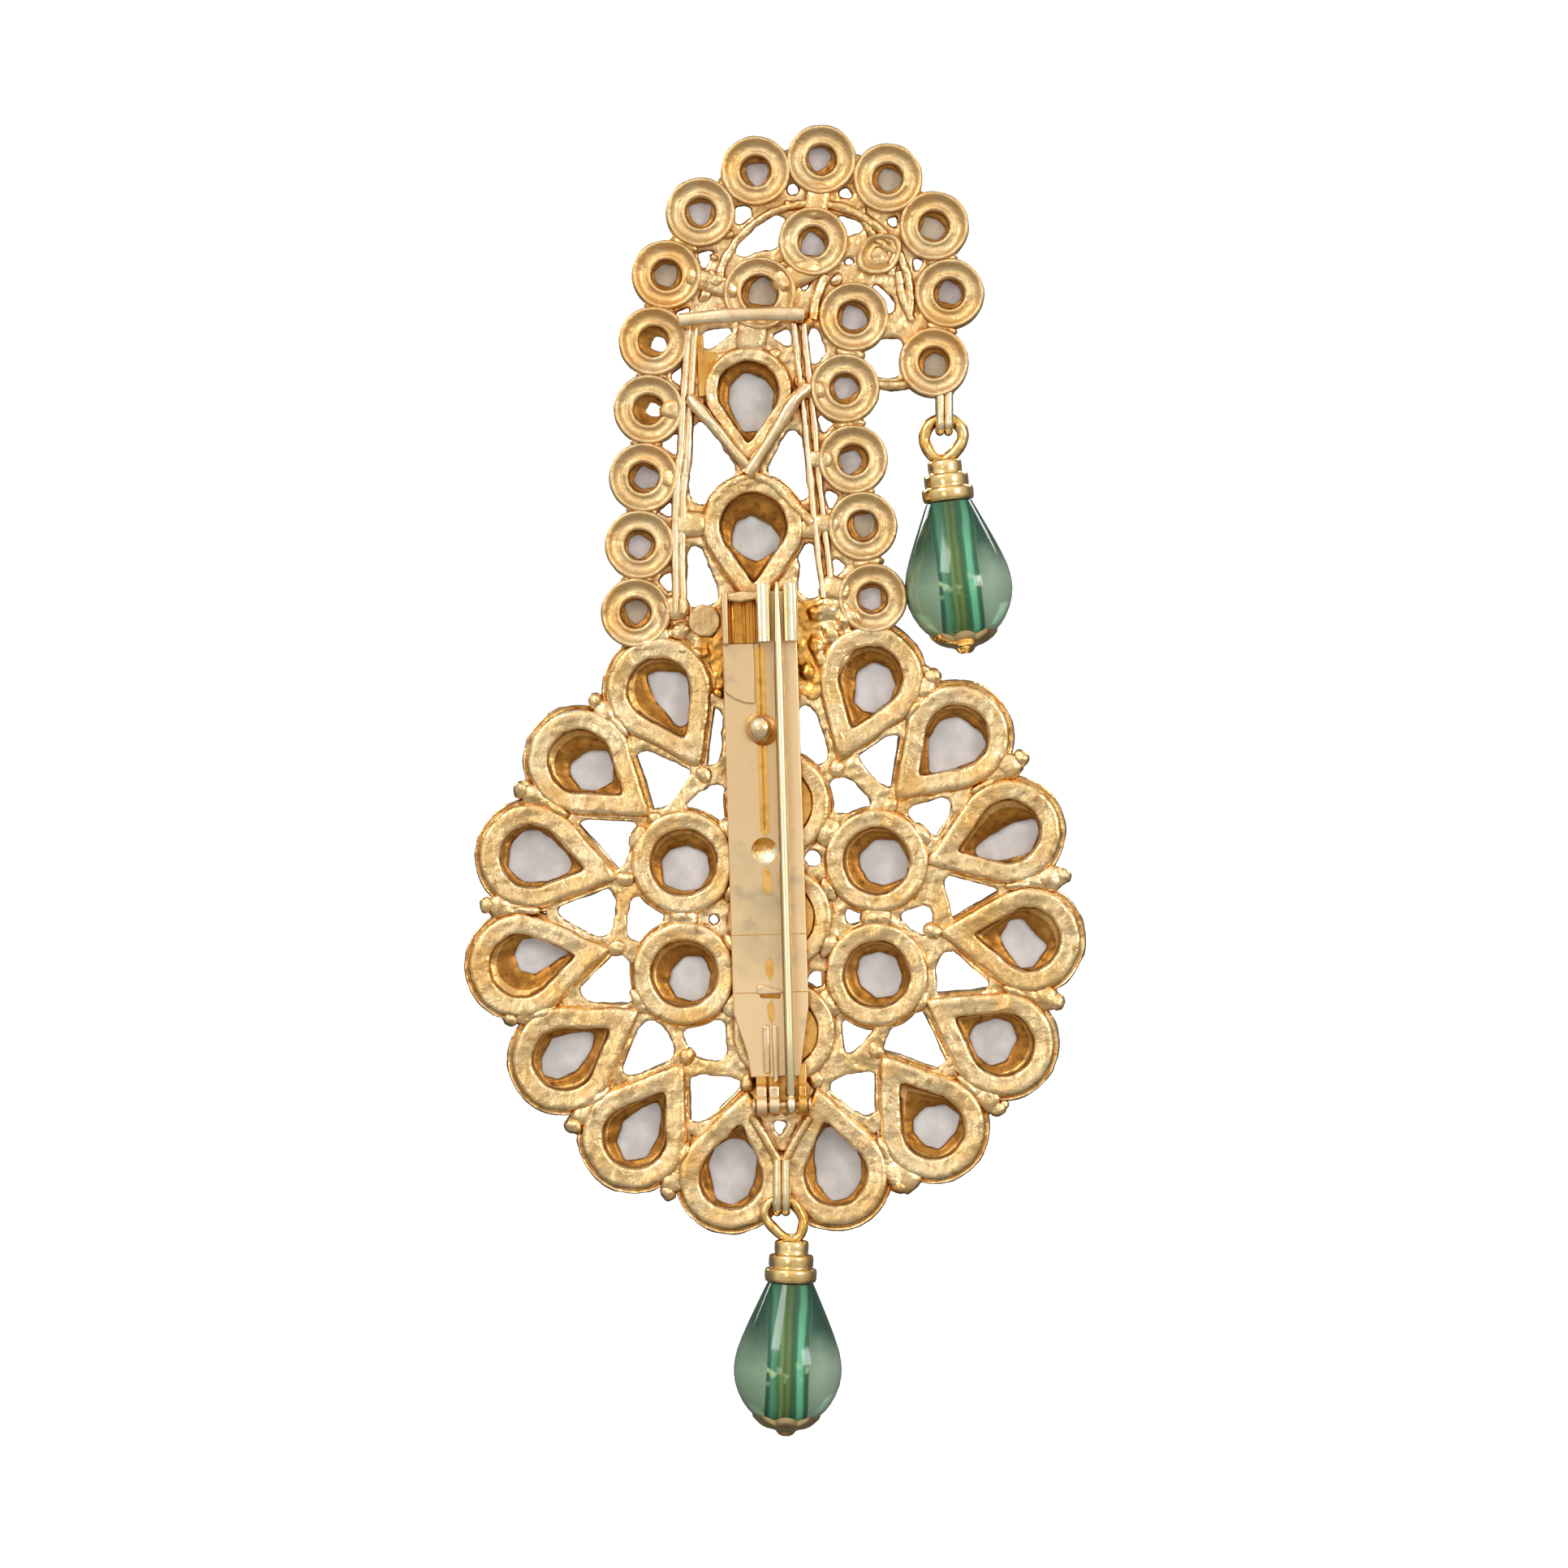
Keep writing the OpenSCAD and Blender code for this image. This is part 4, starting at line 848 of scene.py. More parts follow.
# x, z and size of the solder that has run round the upper stem
spilt = [
    (-8.6, 56.3, 0.9), (-7.8, 54.6, 0.8), (-9.9, 50.2, 0.8), (-6.9, 58.4, 0.5),
    (-6.0, 48.4, 0.9), (-1.0, 48.7, 0.9), (1.6, 46.0, 0.9), (-8.9, 44.0, 0.8),
    (0.0, 57.6, 0.7), (5.2, 56.2, 0.8), (11.6, 54.6, 0.7), (0.4, 63.6, 0.6), (-5.4, 60.6, 0.6),
    (-3.2, 36.9, 1.0)]
for number, (x, z, size) in enumerate(spilt):
    pieces.append(solder(x, z, size, 0.5, size * 0.75, number * 47, back + 0.85))
star_x, star_z = -6.72, 56.08
pieces.append(solder(star_x, star_z, 0.75, 0.7, 0.75, 0, back + 0.6))
for turn in range(0, 360, 60):
    ray = polar(turn, 0.75, star_x, star_z)
    pieces.append(solder(*ray, 0.45, 0.4, 0.28, turn, back + 0.55))
# the web's orange recess at the left of the upper pear cup
recess = [(-8.6, 50.7), (-8.0, 50.7), (-8.0, 48.9), (-6.9, 49.0), (-6.2, 48.4), (-6.7, 46.5),
          (-6.5, 44.8), (-8.4, 44.6)]
pieces.append(plate(recess, back + 0.58, back + 1.5, 0.1, orange_gold))
wires_group = joined("stem_wires_and_webs", pieces)
cast_skin(wires_group, (0.30, 1.4), (0.16, 0.7))
fixed(wires_group, "frame")

# Floors of the three round cups behind the bar: plain orange plates, because the bar
# hides their openings. Each is laid into its cup from the back.
floors = [plate(round_places(round_hole + 0.06, 40, x, z), back + 0.42, back + 1.88, 0.1,
                orange_gold) for x, z, corners in round_cups if not corners]
floor_group = joined("closed_cups_behind_bar", floors)
edit(floor_group)
finish(floor_group, orange_gold)
cast_skin(floor_group, (0.3, 1.0))
fixed(floor_group, "frame")

# Leaf cup beside the arch, cast like the small cups, its outline two bows that meet in
# two tips.
leaf_rows = [(0.62, 1.1), (0.62, 0.7), (0.70, 0.52), (0.84, 0.5), (0.96, 0.62), (1.12, 0.66),
             (1.24, 0.5), (1.36, 0.22), (1.52, 0.10), (1.68, 0.12), (1.78, 0.3), (1.8, 0.6),
             (1.8, 2.6), (1.7, 2.78), (1.5, 2.8), (1.42, 2.7), (1.42, 1.7), (0.62, 1.62),
             (0.62, 1.1)]
leaf_x, leaf_z, leaf_turn = 9.4, 58.7, 35
# how far its tips are drawn out, how its width is to its length, and its corners
tips_out, leaf_wide, corners_leaf = 0.40, 1.12, 44
opening = []
for step in range(corners_leaf):
    turn = 2 * math.pi * step / corners_leaf
    opening.append((leaf_rows[0][0] * (math.cos(turn) + tips_out * math.cos(turn) ** 3),
                    leaf_rows[0][0] * leaf_wide * math.sin(turn)))
leaf_cup = cup_casting(opening, [(size, back + depth) for size, depth in leaf_rows], stem_gold)
leaf_group = joined("stem_leaf_cup", [set_down(leaf_cup, leaf_x, leaf_z, leaf_turn)])
cast_skin(leaf_group, (0.12, 1.0))
fixed(leaf_group, "frame")

# Foot of the stem, where it is soldered to the rosette: a plain plate behind the
# catch, a dull disc at its left and lumpy cast webs at its right.
plate_places = [(-6.6, 24.0), (3.9, 24.6), (5.0, 22.9), (5.1, 20.9), (6.4, 19.7), (3.4, 15.7),
                (1.9, 15.0), (-0.1, 12.9), (-0.1, 9.3), (-4.1, 9.3), (-4.9, 12.9), (-6.6, 15.0),
                (-7.1, 19.7)]
disc = plate(round_places(1.62, 40, -7.84, 22.48), back + 0.25, back + 2.4, 0.2, stem_gold)
pieces = [plate(plate_places, back + 0.6, back + 2.1, metal=orange_gold)]
# x, z, half sizes across and up, and turn of each cast lump round the foot
foot_lumps = [
    (4.3, 23.6, 1.2, 0.9, 20), (5.9, 22.6, 1.0, 0.8, 80), (4.6, 21.4, 1.3, 0.8, 120),
    (6.6, 20.8, 0.9, 1.2, 30), (5.4, 19.4, 1.1, 0.8, 60), (3.9, 18.6, 1.2, 0.8, 140),
    (4.4, 16.6, 0.8, 1.3, 10), (3.2, 20.1, 0.8, 1.2, 15), (7.2, 22.9, 0.8, 0.9, 0),
    (3.0, 23.3, 0.7, 0.9, 45), (2.4, 17.6, 0.7, 1.1, 0), (-8.5, 19.3, 1.0, 0.8, 30),
    (-10.2, 21.5, 1.1, 0.8, 20), (-12.0, 21.0, 0.9, 0.9, 0), (-9.9, 19.6, 0.9, 0.6, 140),
    (-6.5, 15.4, 0.5, 0.7, 60)]
for x, z, across, up, turn in foot_lumps:
    pieces.append(solder(x, z, across, 0.75, up, turn))
# x, z of both ends, width and depth of the webs that run into it
for x0, z0, x1, z1, width, down in (
        (4.6, 24.9, 6.4, 22.6, 1.3, 1.0), (3.1, 15.6, 6.2, 19.9, 1.4, 1.0),
        (-7.3, 21.0, -7.5, 15.2, 1.5, 1.5), (-10.6, 22.3, -7.8, 20.4, 1.6, 1.4),
        (-8.4, 20.6, -8.0, 18.8, 1.3, 1.2)):
    pieces.append(bridge(x0, z0, x1, z1, width, back + down, 0.6))
foot = melted(joined("foot", pieces), 0.16, cast_gold, orange_gold)
for face in foot.data.polygons:
    beside_catch = -8.2 * mm < face.center.x < 3.4 * mm
    face.material_index = 1 if beside_catch and face.normal.y < 0.3 else 0
foot_group = joined("stem_foot", [foot, disc])
cast_skin(foot_group, (0.45, 1.3), (0.22, 0.6))
fixed(foot_group, "frame")

# Strap across the back of the stem for a feather's quill, hammered flat from wire, and
# the eyes that carry the drops: two wires side by side, bent double and soldered in. Two
# arms in a V hold the lower one.
# x, z and turn of the strap's left end, its length and that of each leg under it
strap_place = (-10.24, 51.9, 2.8)
strap_long, leg_long = 12.2, 0.8
bowed = [(strap_long * step / 6, 0.22 * math.sin(math.pi * step / 6),
          -0.35 * math.sin(math.pi * step / 6)) for step in range(7)]
pieces = [set_down(wire(bowed, 0.68, metal=polished), *strap_place, -0.15, (1, 0.5, 1))]


def strip(left, right, low, high, near, far, edge, metal):
    """A flat plate with upright sides."""
    return plate([(left, low), (right, low), (right, high), (left, high)], near, far, edge, metal)


for along in (0.0, strap_long - leg_long):
    leg = strip(along, along + leg_long, -0.66, 0.66, -0.2, back + 1.6, 0.22, orange_gold)
    pieces.append(set_down(leg, *strap_place))
eye_gold = gilt("bright gold of the eyes", (1.0, 0.86, 0.54), (0.98, 0.78, 0.44),
                (0.86, 0.62, 0.30), (0.50, 0.22, 0.04), polish=0.22, grain=0.10, reach=0.8 * mm)


def eye(x, y, z, top):
    """Two wires side by side, bent double round the drop's axis."""
    wide = 1.10
    bend = [(x, z - 0.12 + wide * math.sin(math.radians(turn)),
             y + wide * math.cos(math.radians(turn))) for turn in range(180, 361, 30)]
    legs = [(x, top, y - wide)] + bend + [(x, top, y + wide)]
    return joined("eye", [wire([(x + side, z, y) for x, z, y in legs], 0.45, metal=eye_gold)
                          for side in (-0.42, 0.42)])


lower_x, lower_y, lower_z = -0.24, 1.3, -36.16
upper_x, upper_y, upper_z = 15.84, 4.0, 40.72
# how far a drop's axis lies above the middle of its loop
axis_up = 1.718
pieces.append(eye(lower_x, lower_y, lower_z + axis_up, -30.5))
pieces.append(eye(upper_x, upper_y, upper_z + axis_up, 45.1))
pieces.append(wire([(-3.1, -26.4), (-1.9, -28.4), (-0.6, -30.7)], 0.52, back - 0.02))
pieces.append(wire([(2.5, -26.4), (1.3, -28.4), (0.1, -30.7)], 0.52, back - 0.02))
pieces.append(solder(-0.28, -30.8, 1.0, 0.7, 0.9, 0, back + 0.3))
pieces.append(solder(15.6, 45.2, 1.3, 0.8, 0.7, 0, back + 1.3))
straps_group = joined("straps_for_feather_and_drops", pieces)
fixed(straps_group, "frame")
delete(lump, web)

# Pin bar: a flat brass plate riveted at the back, with a groove stamped down it, a
# dimple and two scored lines. Its top is folded into the catch, its foot the hinge.
pin_lean = 1.6
bar_near, bar_far = 1.5, 2.3
bar_places = [(-5.5, 25.4), (1.85, 25.4), (1.9, 14.0), (2.0, -15.5), (1.3, -20.0),
              (0.95, -22.4), (-3.9, -22.4), (-4.2, -20.0), (-5.45, -16.0)]
brushed = Recipe("brushed gold of the bar")
leaned = brushed.stretched(1, 1, 1, pin_lean)
# painted light: the bar's right side is lighter, as if lit from the right; it also grows lighter
# towards its foot
painted_light_at_right = brushed.measured(leaned, 0).between(0.2 * mm, 0.9 * mm)
at_foot = (0.0 - brushed.measured(leaned, 2)).between(-4 * mm, 14 * mm)
lighter_share = painted_light_at_right * 0.7 + at_foot * 0.7
colour = lighter_share.between(0.0, 1.0).blend((0.75, 0.53, 0.29), (0.92, 0.67, 0.38))
stains = brushed.noise(190.0, 3.0, leaned).between(0.54, 0.72)
colour = (stains * 0.5).blend(colour, (0.50, 0.40, 0.24))
smudges = brushed.noise(400.0, 2.0, leaned).between(0.62, 0.72)
colour = (smudges * 0.45).blend(colour, (0.42, 0.34, 0.24))
strokes = brushed.noise(1.0, 3.0, brushed.stretched(1800, 1800, 60, pin_lean))
colour = (strokes.between(0.5, 0.8) * 0.4).blend(colour, (0.86, 0.52, 0.20))
# painted shade in the bar's corners
colour = brushed.corners(0.6 * mm).blend(colour, (0.52, 0.24, 0.06))
bar_gold = brushed.give(Base_Color=colour, Metallic=1.0, Roughness=0.40 + strokes * 0.12,
                        Normal=brushed.bump(strokes, 0.12, 0.10 * mm))
# painted reflection: the groove's orange stands for the warm light that its walls throw on each other
groove_painted_reflection = gilt("orange gold in the groove", (0.94, 0.55, 0.15), (0.86, 0.47, 0.11),
                   (0.68, 0.34, 0.07), (0.46, 0.17, 0.02), polish=0.34, grain=0.12, reach=0.8 * mm)
trough_gold = gilt("deep orange gold of the trough", (0.72, 0.34, 0.06), (0.60, 0.25, 0.04),
                   (0.45, 0.17, 0.02), (0.30, 0.08, 0.01), polish=0.26, grain=0.20, reach=0.8 * mm)
pressed = Recipe("pressed gold of the dimple")
# painted shade and highlight: the dimple is orange in its upper half and pale cream in its lower half,
# broken up by its dents
lit = (0.0 - pressed.measured(pressed.place, 2)).between(-0.6 * mm, 0.6 * mm)
dents = pressed.noise(1500.0, 2.0)
colour = (lit + (dents - 0.5) * 2.4).between(0.32, 0.78)
colour = colour.blend((0.94, 0.42, 0.07), (1.0, 0.86, 0.60))
dimple_painted_light = pressed.give(Base_Color=colour, Metallic=1.0, Roughness=0.24 + dents * 0.10,
                           Normal=pressed.bump(dents, 0.60, 0.20 * mm))
# painted highlight: the catch's lips are a paler, creamier gold than the rest
lip_gold = gilt("rubbed gold", (1.0, 0.90, 0.64), (1.0, 0.85, 0.56), (0.95, 0.76, 0.46),
                (0.60, 0.36, 0.12), polish=0.24, grain=0.08, reach=0.6 * mm)


def flat_faces(piece):
    """Keeps large faces flat to the eye beside soft edges."""
    take(piece)
    bpy.ops.mesh.customdata_custom_splitnormals_clear()
    for face in piece.data.polygons:
        if max(abs(along) for along in face.normal) > 0.999:
            face.use_smooth = False
    return piece


bar_plate = plate(bar_places, bar_near, bar_far, 0.14, bar_gold)
# a shallow stamped groove with a deeper line in it, broken off below the dimple
off_bar = 1.0
for low, high, left, right in ((1.2, 20.3, -2.3, -1.3), (-4.6, -1.6, -2.15, -1.35),
                               (-12.9, -10.6, -2.15, -1.35), (-17.2, -14.8, -2.05, -1.35)):
    centre = (left + right) / 2
    soft_ends = [(left + 0.05, low + 0.6), (centre, low), (right - 0.05, low + 0.5),
                 (right, high - 0.9), (centre + 0.1, high), (left - 0.05, high - 0.6)]
    cut_away(bar_plate, plate(soft_ends, off_bar, bar_near + 0.07, 0, groove_painted_reflection))
# left, right, low, high and depth of the deeper line and of two lines scored across
for left, right, low, high, deep in ((-1.95, -1.76, 2.0, 20.2, 0.18),
                                     (-5.7, 2.2, -8.42, -8.33, 0.05),
                                     (-5.7, 2.2, -14.12, -14.03, 0.05)):
    # the cut walls take orange gold: painted shade in the lines
    cut_away(bar_plate, strip(left, right, low, high, off_bar, bar_near + deep, 0, orange_gold))
# a nick below the chip of solder at the lower scored line, its walls dark: a painted shadow of the chip
painted_shadow_nick = [(-2.7, -14.6), (-0.8, -14.7), (-0.7, -14.25), (-2.8, -14.25)]
cut_away(bar_plate, plate(painted_shadow_nick, off_bar, bar_near + 0.16, 0, trough_gold))
# x and z of the dimple, the ball that presses it and how high the ball's middle stays
dimple_x, dimple_z, ball, ball_up = -1.93, -0.1, 2.0, 1.52
dimple = started(bpy.ops.mesh.primitive_uv_sphere_add, segments=48, ring_count=32,
                 radius=ball * mm,
                 location=(dimple_x * mm, (bar_near - ball_up) * mm, dimple_z * mm))
cut_away(bar_plate, finish(dimple, dimple_painted_light, angle=80))
# a thicker patch above the rivet, its lower edge dished
patch = plate([(-5.35, 20.3), (-2.45, 20.3), (-2.45, 14.4), (-3.4, 14.5), (-4.4, 14.9),
               (-5.4, 15.6)], bar_near - 0.32, bar_near + 0.3, 0.07, bar_gold)
pieces = [flat_faces(bar_plate), flat_faces(patch)]
# the top strip of the catch, and a chip of solder at the lower scored line
pieces.append(plate([(-4.95, 24.5), (-3.6, 24.3), (-1.85, 24.6), (-1.85, 25.3), (-3.4, 25.45),
                     (-4.95, 25.2)], -0.3, bar_near + 0.2, 0.22, stem_gold))
pieces.append(plate([(-3.0, -14.2), (-0.65, -14.2), (-0.65, -13.75), (-1.6, -13.7),
                     (-2.3, -13.3), (-2.95, -13.4)], bar_near - 0.30, bar_near + 0.1, 0.10,
                    polished))
# heights of the hinge's axis and of the upper ends of the plates that carry it
hinge_axis, plates_high = -25.1, -21.2
# straight plates: left, right, low, high, depths from the bar's near side, edge and metal
bar_strips = [
    # the catch's left wall, its trough and the plate behind the knuckles
    (-5.48, -4.85, 20.2, 25.4, -2.15, 0.2, 0.16, bar_gold),
    (-4.9, -1.85, 20.3, 24.6, -0.25, 0.2, 0.1, trough_gold),
    (-3.3, 1.5, hinge_axis - 0.9, plates_high, 0.45, 0.75, 0.1, orange_gold),
    # two bright strips on the bar's foot and the dull one between them
    (-2.55, -1.95, -22.0, -17.3, -0.35, 0.15, 0.15, polished),
    (-1.65, -1.15, -22.9, -17.3, -0.35, 0.15, 0.15, polished),
    (-1.98, -1.62, -22.4, -17.4, -0.15, 0.15, 0.05, bar_gold)]
# ribs in the trough: their middles and how far each stands up
for rib, proud in ((-4.45, 0.4), (-3.95, 0.2), (-3.3, 0.5), (-2.75, 0.25), (-2.3, 0.55)):
    bar_strips.append((rib - 0.14, rib + 0.14, 20.4, 24.5, -proud, 0.0, 0.12, trough_gold))


def hinge_part(left, right, radius, corners, metal, edge=0.0, steps=3):
    """A round part on the hinge's axis, its edges softened if edge isn't 0."""
    part = started(bpy.ops.mesh.primitive_cylinder_add, vertices=corners, radius=radius * mm,
                   depth=(right - left) * mm, rotation=(0, math.pi / 2, 0),
                   location=((left + right) / 2 * mm, 0, hinge_axis * mm))
    finish(part, metal)
    if edge:
        soften(part, edge, steps)
    return part


for left, right, metal in ((-3.4, -2.35, bar_gold), (-2.15, -1.1, polished),
                           (0.75, 1.6, orange_gold)):
    pieces.append(hinge_part(left, right, 1.0, 40, metal, 0.10, 2))
    bar_strips.append((left, right, hinge_axis - 0.8, hinge_axis + 1.9, -1.85, 0.75, 0.2, metal))
    bar_strips.append((left + 0.02, right - 0.02, hinge_axis - 0.6, plates_high, 0.04, 0.77, 0.08,
                       orange_gold))
for left, right, low, high, near, far, edge, metal in bar_strips:
    pieces.append(strip(left, right, low, high, bar_near + near, bar_near + far, edge, metal))
# half section of a rolled lip of the catch: across from the needle's slot, and depth
lip_rows = [(0.62, 1.2), (0.62, 0.2), (0.66, -0.25), (0.80, -0.55), (1.02, -0.80), (1.30, -0.95),
            (1.62, -1.0), (1.88, -0.93), (2.02, -0.74), (2.08, -0.4), (2.08, 1.7)]
lip_high, lip_long = 26.1, 5.7
for side in (-1, 1):
    lip = plate([(side * out - 0.05, down) for out, down in lip_rows], 0, lip_long, 0.05, lip_gold)
    edit(lip)
    bpy.ops.transform.rotate(value=math.pi / 2, orient_axis="X", center_override=(0, 0, 0))
    finish(lip, lip_gold)
    highest = max(corner.co.z for corner in lip.data.vertices)
    deepest = max(corner.co.y for corner in lip.data.vertices)
    for corner in lip.data.vertices:
        corner.co.z += lip_high * mm - highest
        corner.co.y += lip_rows[-1][1] * mm - deepest
    pieces.append(lip)
# the rivet: its round head, an orange crescent under it at its lower right, painted as the head's
# shade, and its shank
rivet_x, rivet_z = -2.0, 11.96
head = started(bpy.ops.mesh.primitive_uv_sphere_add, segments=40, ring_count=24,
               radius=1.5 * mm, location=(rivet_x * mm, (bar_near + 0.1) * mm, rivet_z * mm))
bpy.ops.mesh.bisect(plane_co=(0, (bar_near + 0.35) * mm, 0), plane_no=(0, 1, 0),
                    clear_outer=True, use_fill=True)
finish(head, polished, angle=80)
painted_shade_crescent = copied(head, 0.32, -0.30, 0, 0.30)
painted_shade_crescent.data.materials[0] = orange_gold
pieces += [head, painted_shade_crescent]
pieces.append(plate(round_places(0.6, 24, rivet_x, rivet_z), bar_near + 0.2, 5.0, 0.1, polished))
fixed(set_down(joined("pin_bar_and_catch", pieces), turn=pin_lean), "pin_bar")

# Hinge rivet: a short brass pin through the knuckles of bar and needle, its two ends
# hammered into flat round heads.
pieces = [hinge_part(-3.7, 1.9, 0.35, 32, polished)]
for head_x in (-3.63, 1.83):
    pieces.append(hinge_part(head_x - 0.145, head_x + 0.145, 0.70, 32, polished, 0.08))
fixed(set_down(joined("hinge_pin", pieces), turn=pin_lean), "hinge_rivet")

# Needle: hard brass wire, drawn thin and polished, with a knuckle on the hinge pin
# at its foot and its last nine millimetres filed to a point. Its rows hold its radius
# and height.
needle_rows = [(0.30, -24.4), (0.50, -24.1), (0.5, -18.0), (0.5, -8.0), (0.5, 2.0), (0.5, 12.0),
               (0.5, 17.3), (0.41, 20.0), (0.30, 23.0), (0.20, 25.4), (0.12, 26.2), (0.03, 26.28)]
drawn = Recipe("polished needle")
left_side = drawn.measured(drawn.stretched(1, 1, 1, pin_lean), 0)
streaks = drawn.noise(1.0, 2.0, drawn.stretched(2500, 2500, 90, pin_lean))
# painted shadow: a dark line down the needle's left side, beside the bar
lighter_share = (left_side + (streaks - 0.5) * (0.2 * mm)).between(-0.34 * mm, -0.14 * mm)
colour = lighter_share.blend((0.50, 0.36, 0.18), (1.0, 0.85, 0.52))
needle_gold = drawn.give(Base_Color=colour, Metallic=1.0, Roughness=0.24 + streaks * 0.08,
                         Normal=drawn.bump(streaks, 0.05, 0.05 * mm))


def lathed(rows, corners, metal, hollow=False, angle=50):
    """Turned on an upright axis through rows of radius and height; a hollow piece's rows
    come round to their start, another's ends are closed."""
    size, height = rows[0]
    piece = started(bpy.ops.mesh.primitive_circle_add, vertices=corners, radius=size * mm,
                    location=(0, 0, height * mm))
    for new_size, new_height in rows[1:]:
        bpy.ops.mesh.extrude_edges_move()
        ratio = new_size / size
        bpy.ops.transform.resize(value=(ratio, ratio, 1), center_override=(0, 0, 0))
        bpy.ops.transform.translate(value=(0, 0, (new_height - height) * mm))
        size, height = new_size, new_height
    if not hollow:
        bpy.ops.mesh.select_all(action="DESELECT")
        bpy.ops.mesh.select_mode(type="EDGE")
        bpy.ops.mesh.select_non_manifold()
        bpy.ops.mesh.edge_face_add()
        bpy.ops.mesh.select_mode(type="VERT")
    return finish(piece, metal, angle=angle)


shaft = lathed(needle_rows, 24, needle_gold)
# the knuckle: its radius, half its wall and how much wider than round its wall is drawn
coil_radius, coil_wall, coil_drawn = 0.715, 0.28, 1.7
coil = started(bpy.ops.mesh.primitive_torus_add, major_segments=40, minor_segments=16,
               major_radius=coil_radius * mm, minor_radius=coil_wall * mm,
               rotation=(0, math.pi / 2, 0), location=(0, 0, hinge_axis * mm))
bpy.ops.transform.resize(value=(coil_drawn, 1, 1), center_override=(0, 0, hinge_axis * mm))
finish(coil, needle_gold)
needle_group = set_down(joined("needle_polished", [shaft, coil]), turn=pin_lean)
fixed(needle_group, "needle", "needle_body")

# The two drops: a loop of wire whose shank goes down through a stepped cap and a
# clouded green glass bead to a small flower cap, below which it is riveted over.
bead_top, bead_long, drill = 6.5, 13.8, 0.5
# half section of the bead: how far down it, and its radius
bead_half = [(0.00, 2.22), (0.06, 2.60), (0.15, 3.14), (0.24, 3.68), (0.32, 4.14),
             (0.40, 4.57), (0.48, 4.94), (0.55, 5.14), (0.61, 5.22), (0.66, 5.20),
             (0.72, 5.06), (0.79, 4.73), (0.86, 4.22), (0.91, 3.70), (0.94, 3.24),
             (0.97, 2.70), (0.99, 2.20), (1.00, 1.6)]


def clouded_glass(name, x, y, z, lean):
    """Green glass: milky at both sides, dark at its top and along its drilled middle."""
    recipe = Recipe(name)
    here = recipe.add("ShaderNodeMapping", {"vector_type": "TEXTURE"}, {
        "Vector": recipe.place, "Location": (x * mm, y * mm, z * mm),
        "Rotation": (0, -math.radians(lean), 0)})
    waver = recipe.noise(1.0, 2.0, recipe.add("ShaderNodeMapping", {}, {
        "Vector": here, "Scale": (300, 300, 90)}))
    clouds = recipe.noise(330.0, 3.0, here)
    fall = (0.0 - recipe.measured(here, 2)).between(bead_top * mm, (bead_top + bead_long) * mm)
    across = recipe.measured(here, 0) + (waver - 0.5) * (0.75 * mm)
    side = across.between(-5.2 * mm, 5.2 * mm)
    streaks = recipe.add("ShaderNodeValToRGB", {"stops": [
        (0.290, (0.16, 0.28, 0.16)), (0.302, (0.012, 0.09, 0.05)), (0.330, (0.02, 0.13, 0.07)),
        (0.352, (0.10, 0.36, 0.20)), (0.392, (0.07, 0.26, 0.12)), (0.420, (0.04, 0.17, 0.05)),
        (0.448, (0.20, 0.32, 0.09)), (0.476, (0.09, 0.17, 0.03)), (0.512, (0.17, 0.26, 0.06)),
        (0.545, (0.035, 0.13, 0.04)), (0.580, (0.03, 0.17, 0.08)), (0.602, (0.18, 0.62, 0.33)),
        (0.640, (0.16, 0.56, 0.30)), (0.662, (0.02, 0.14, 0.07)), (0.690, (0.03, 0.12, 0.06)),
        (0.702, (0.20, 0.30, 0.20))]}, {0: side})
    belly = (fall + (clouds - 0.5) * 0.22).between(0.30, 0.62)
    lobes = belly.blend((0.035, 0.10, 0.06), (0.30, 0.43, 0.28))
    greyer = side.between(0.7, 0.8) * belly
    lobes = (greyer * 0.45).blend(lobes, (0.46, 0.52, 0.44))
    inside = side.between(0.288, 0.300) * (1.0 - side.between(0.694, 0.706))
    colour = inside.blend(lobes, streaks)
    foot = fall.between(0.93, 1.0)
    colour = foot.blend(colour, (0.01, 0.07, 0.03))
    neck = 1.0 - fall.between(0.0, 0.40)
    colour = (neck * 0.55).blend(colour, (0.01, 0.06, 0.03))
    # painted highlights: pale green spots on the drilled middle, a little below half way down the bead
    blobs = recipe.noise(900.0, 1.0, here)
    belt = fall.between(0.50, 0.58) * (1.0 - fall.between(0.66, 0.74))
    painted_glints = blobs.between(0.58, 0.70) * belt * inside
    colour = (painted_glints * 0.7).blend(colour, (0.62, 0.78, 0.40))
    scuffs = recipe.noise(2500.0, 4.0, here)
    return recipe.give(Base_Color=colour, Roughness=0.06 + scuffs * 0.10, IOR=1.45,
                       Transmission_Weight=0.28, Coat_Weight=0.25, Coat_Roughness=0.05,
                       Normal=recipe.bump(scuffs, 0.05, 0.05 * mm))


loop_places = [polar(turn, 1.8) for turn in range(-35, 216, 25)]
loop_places += [(-0.75, -1.95), (0.0, -2.35), (0.75, -1.95)]
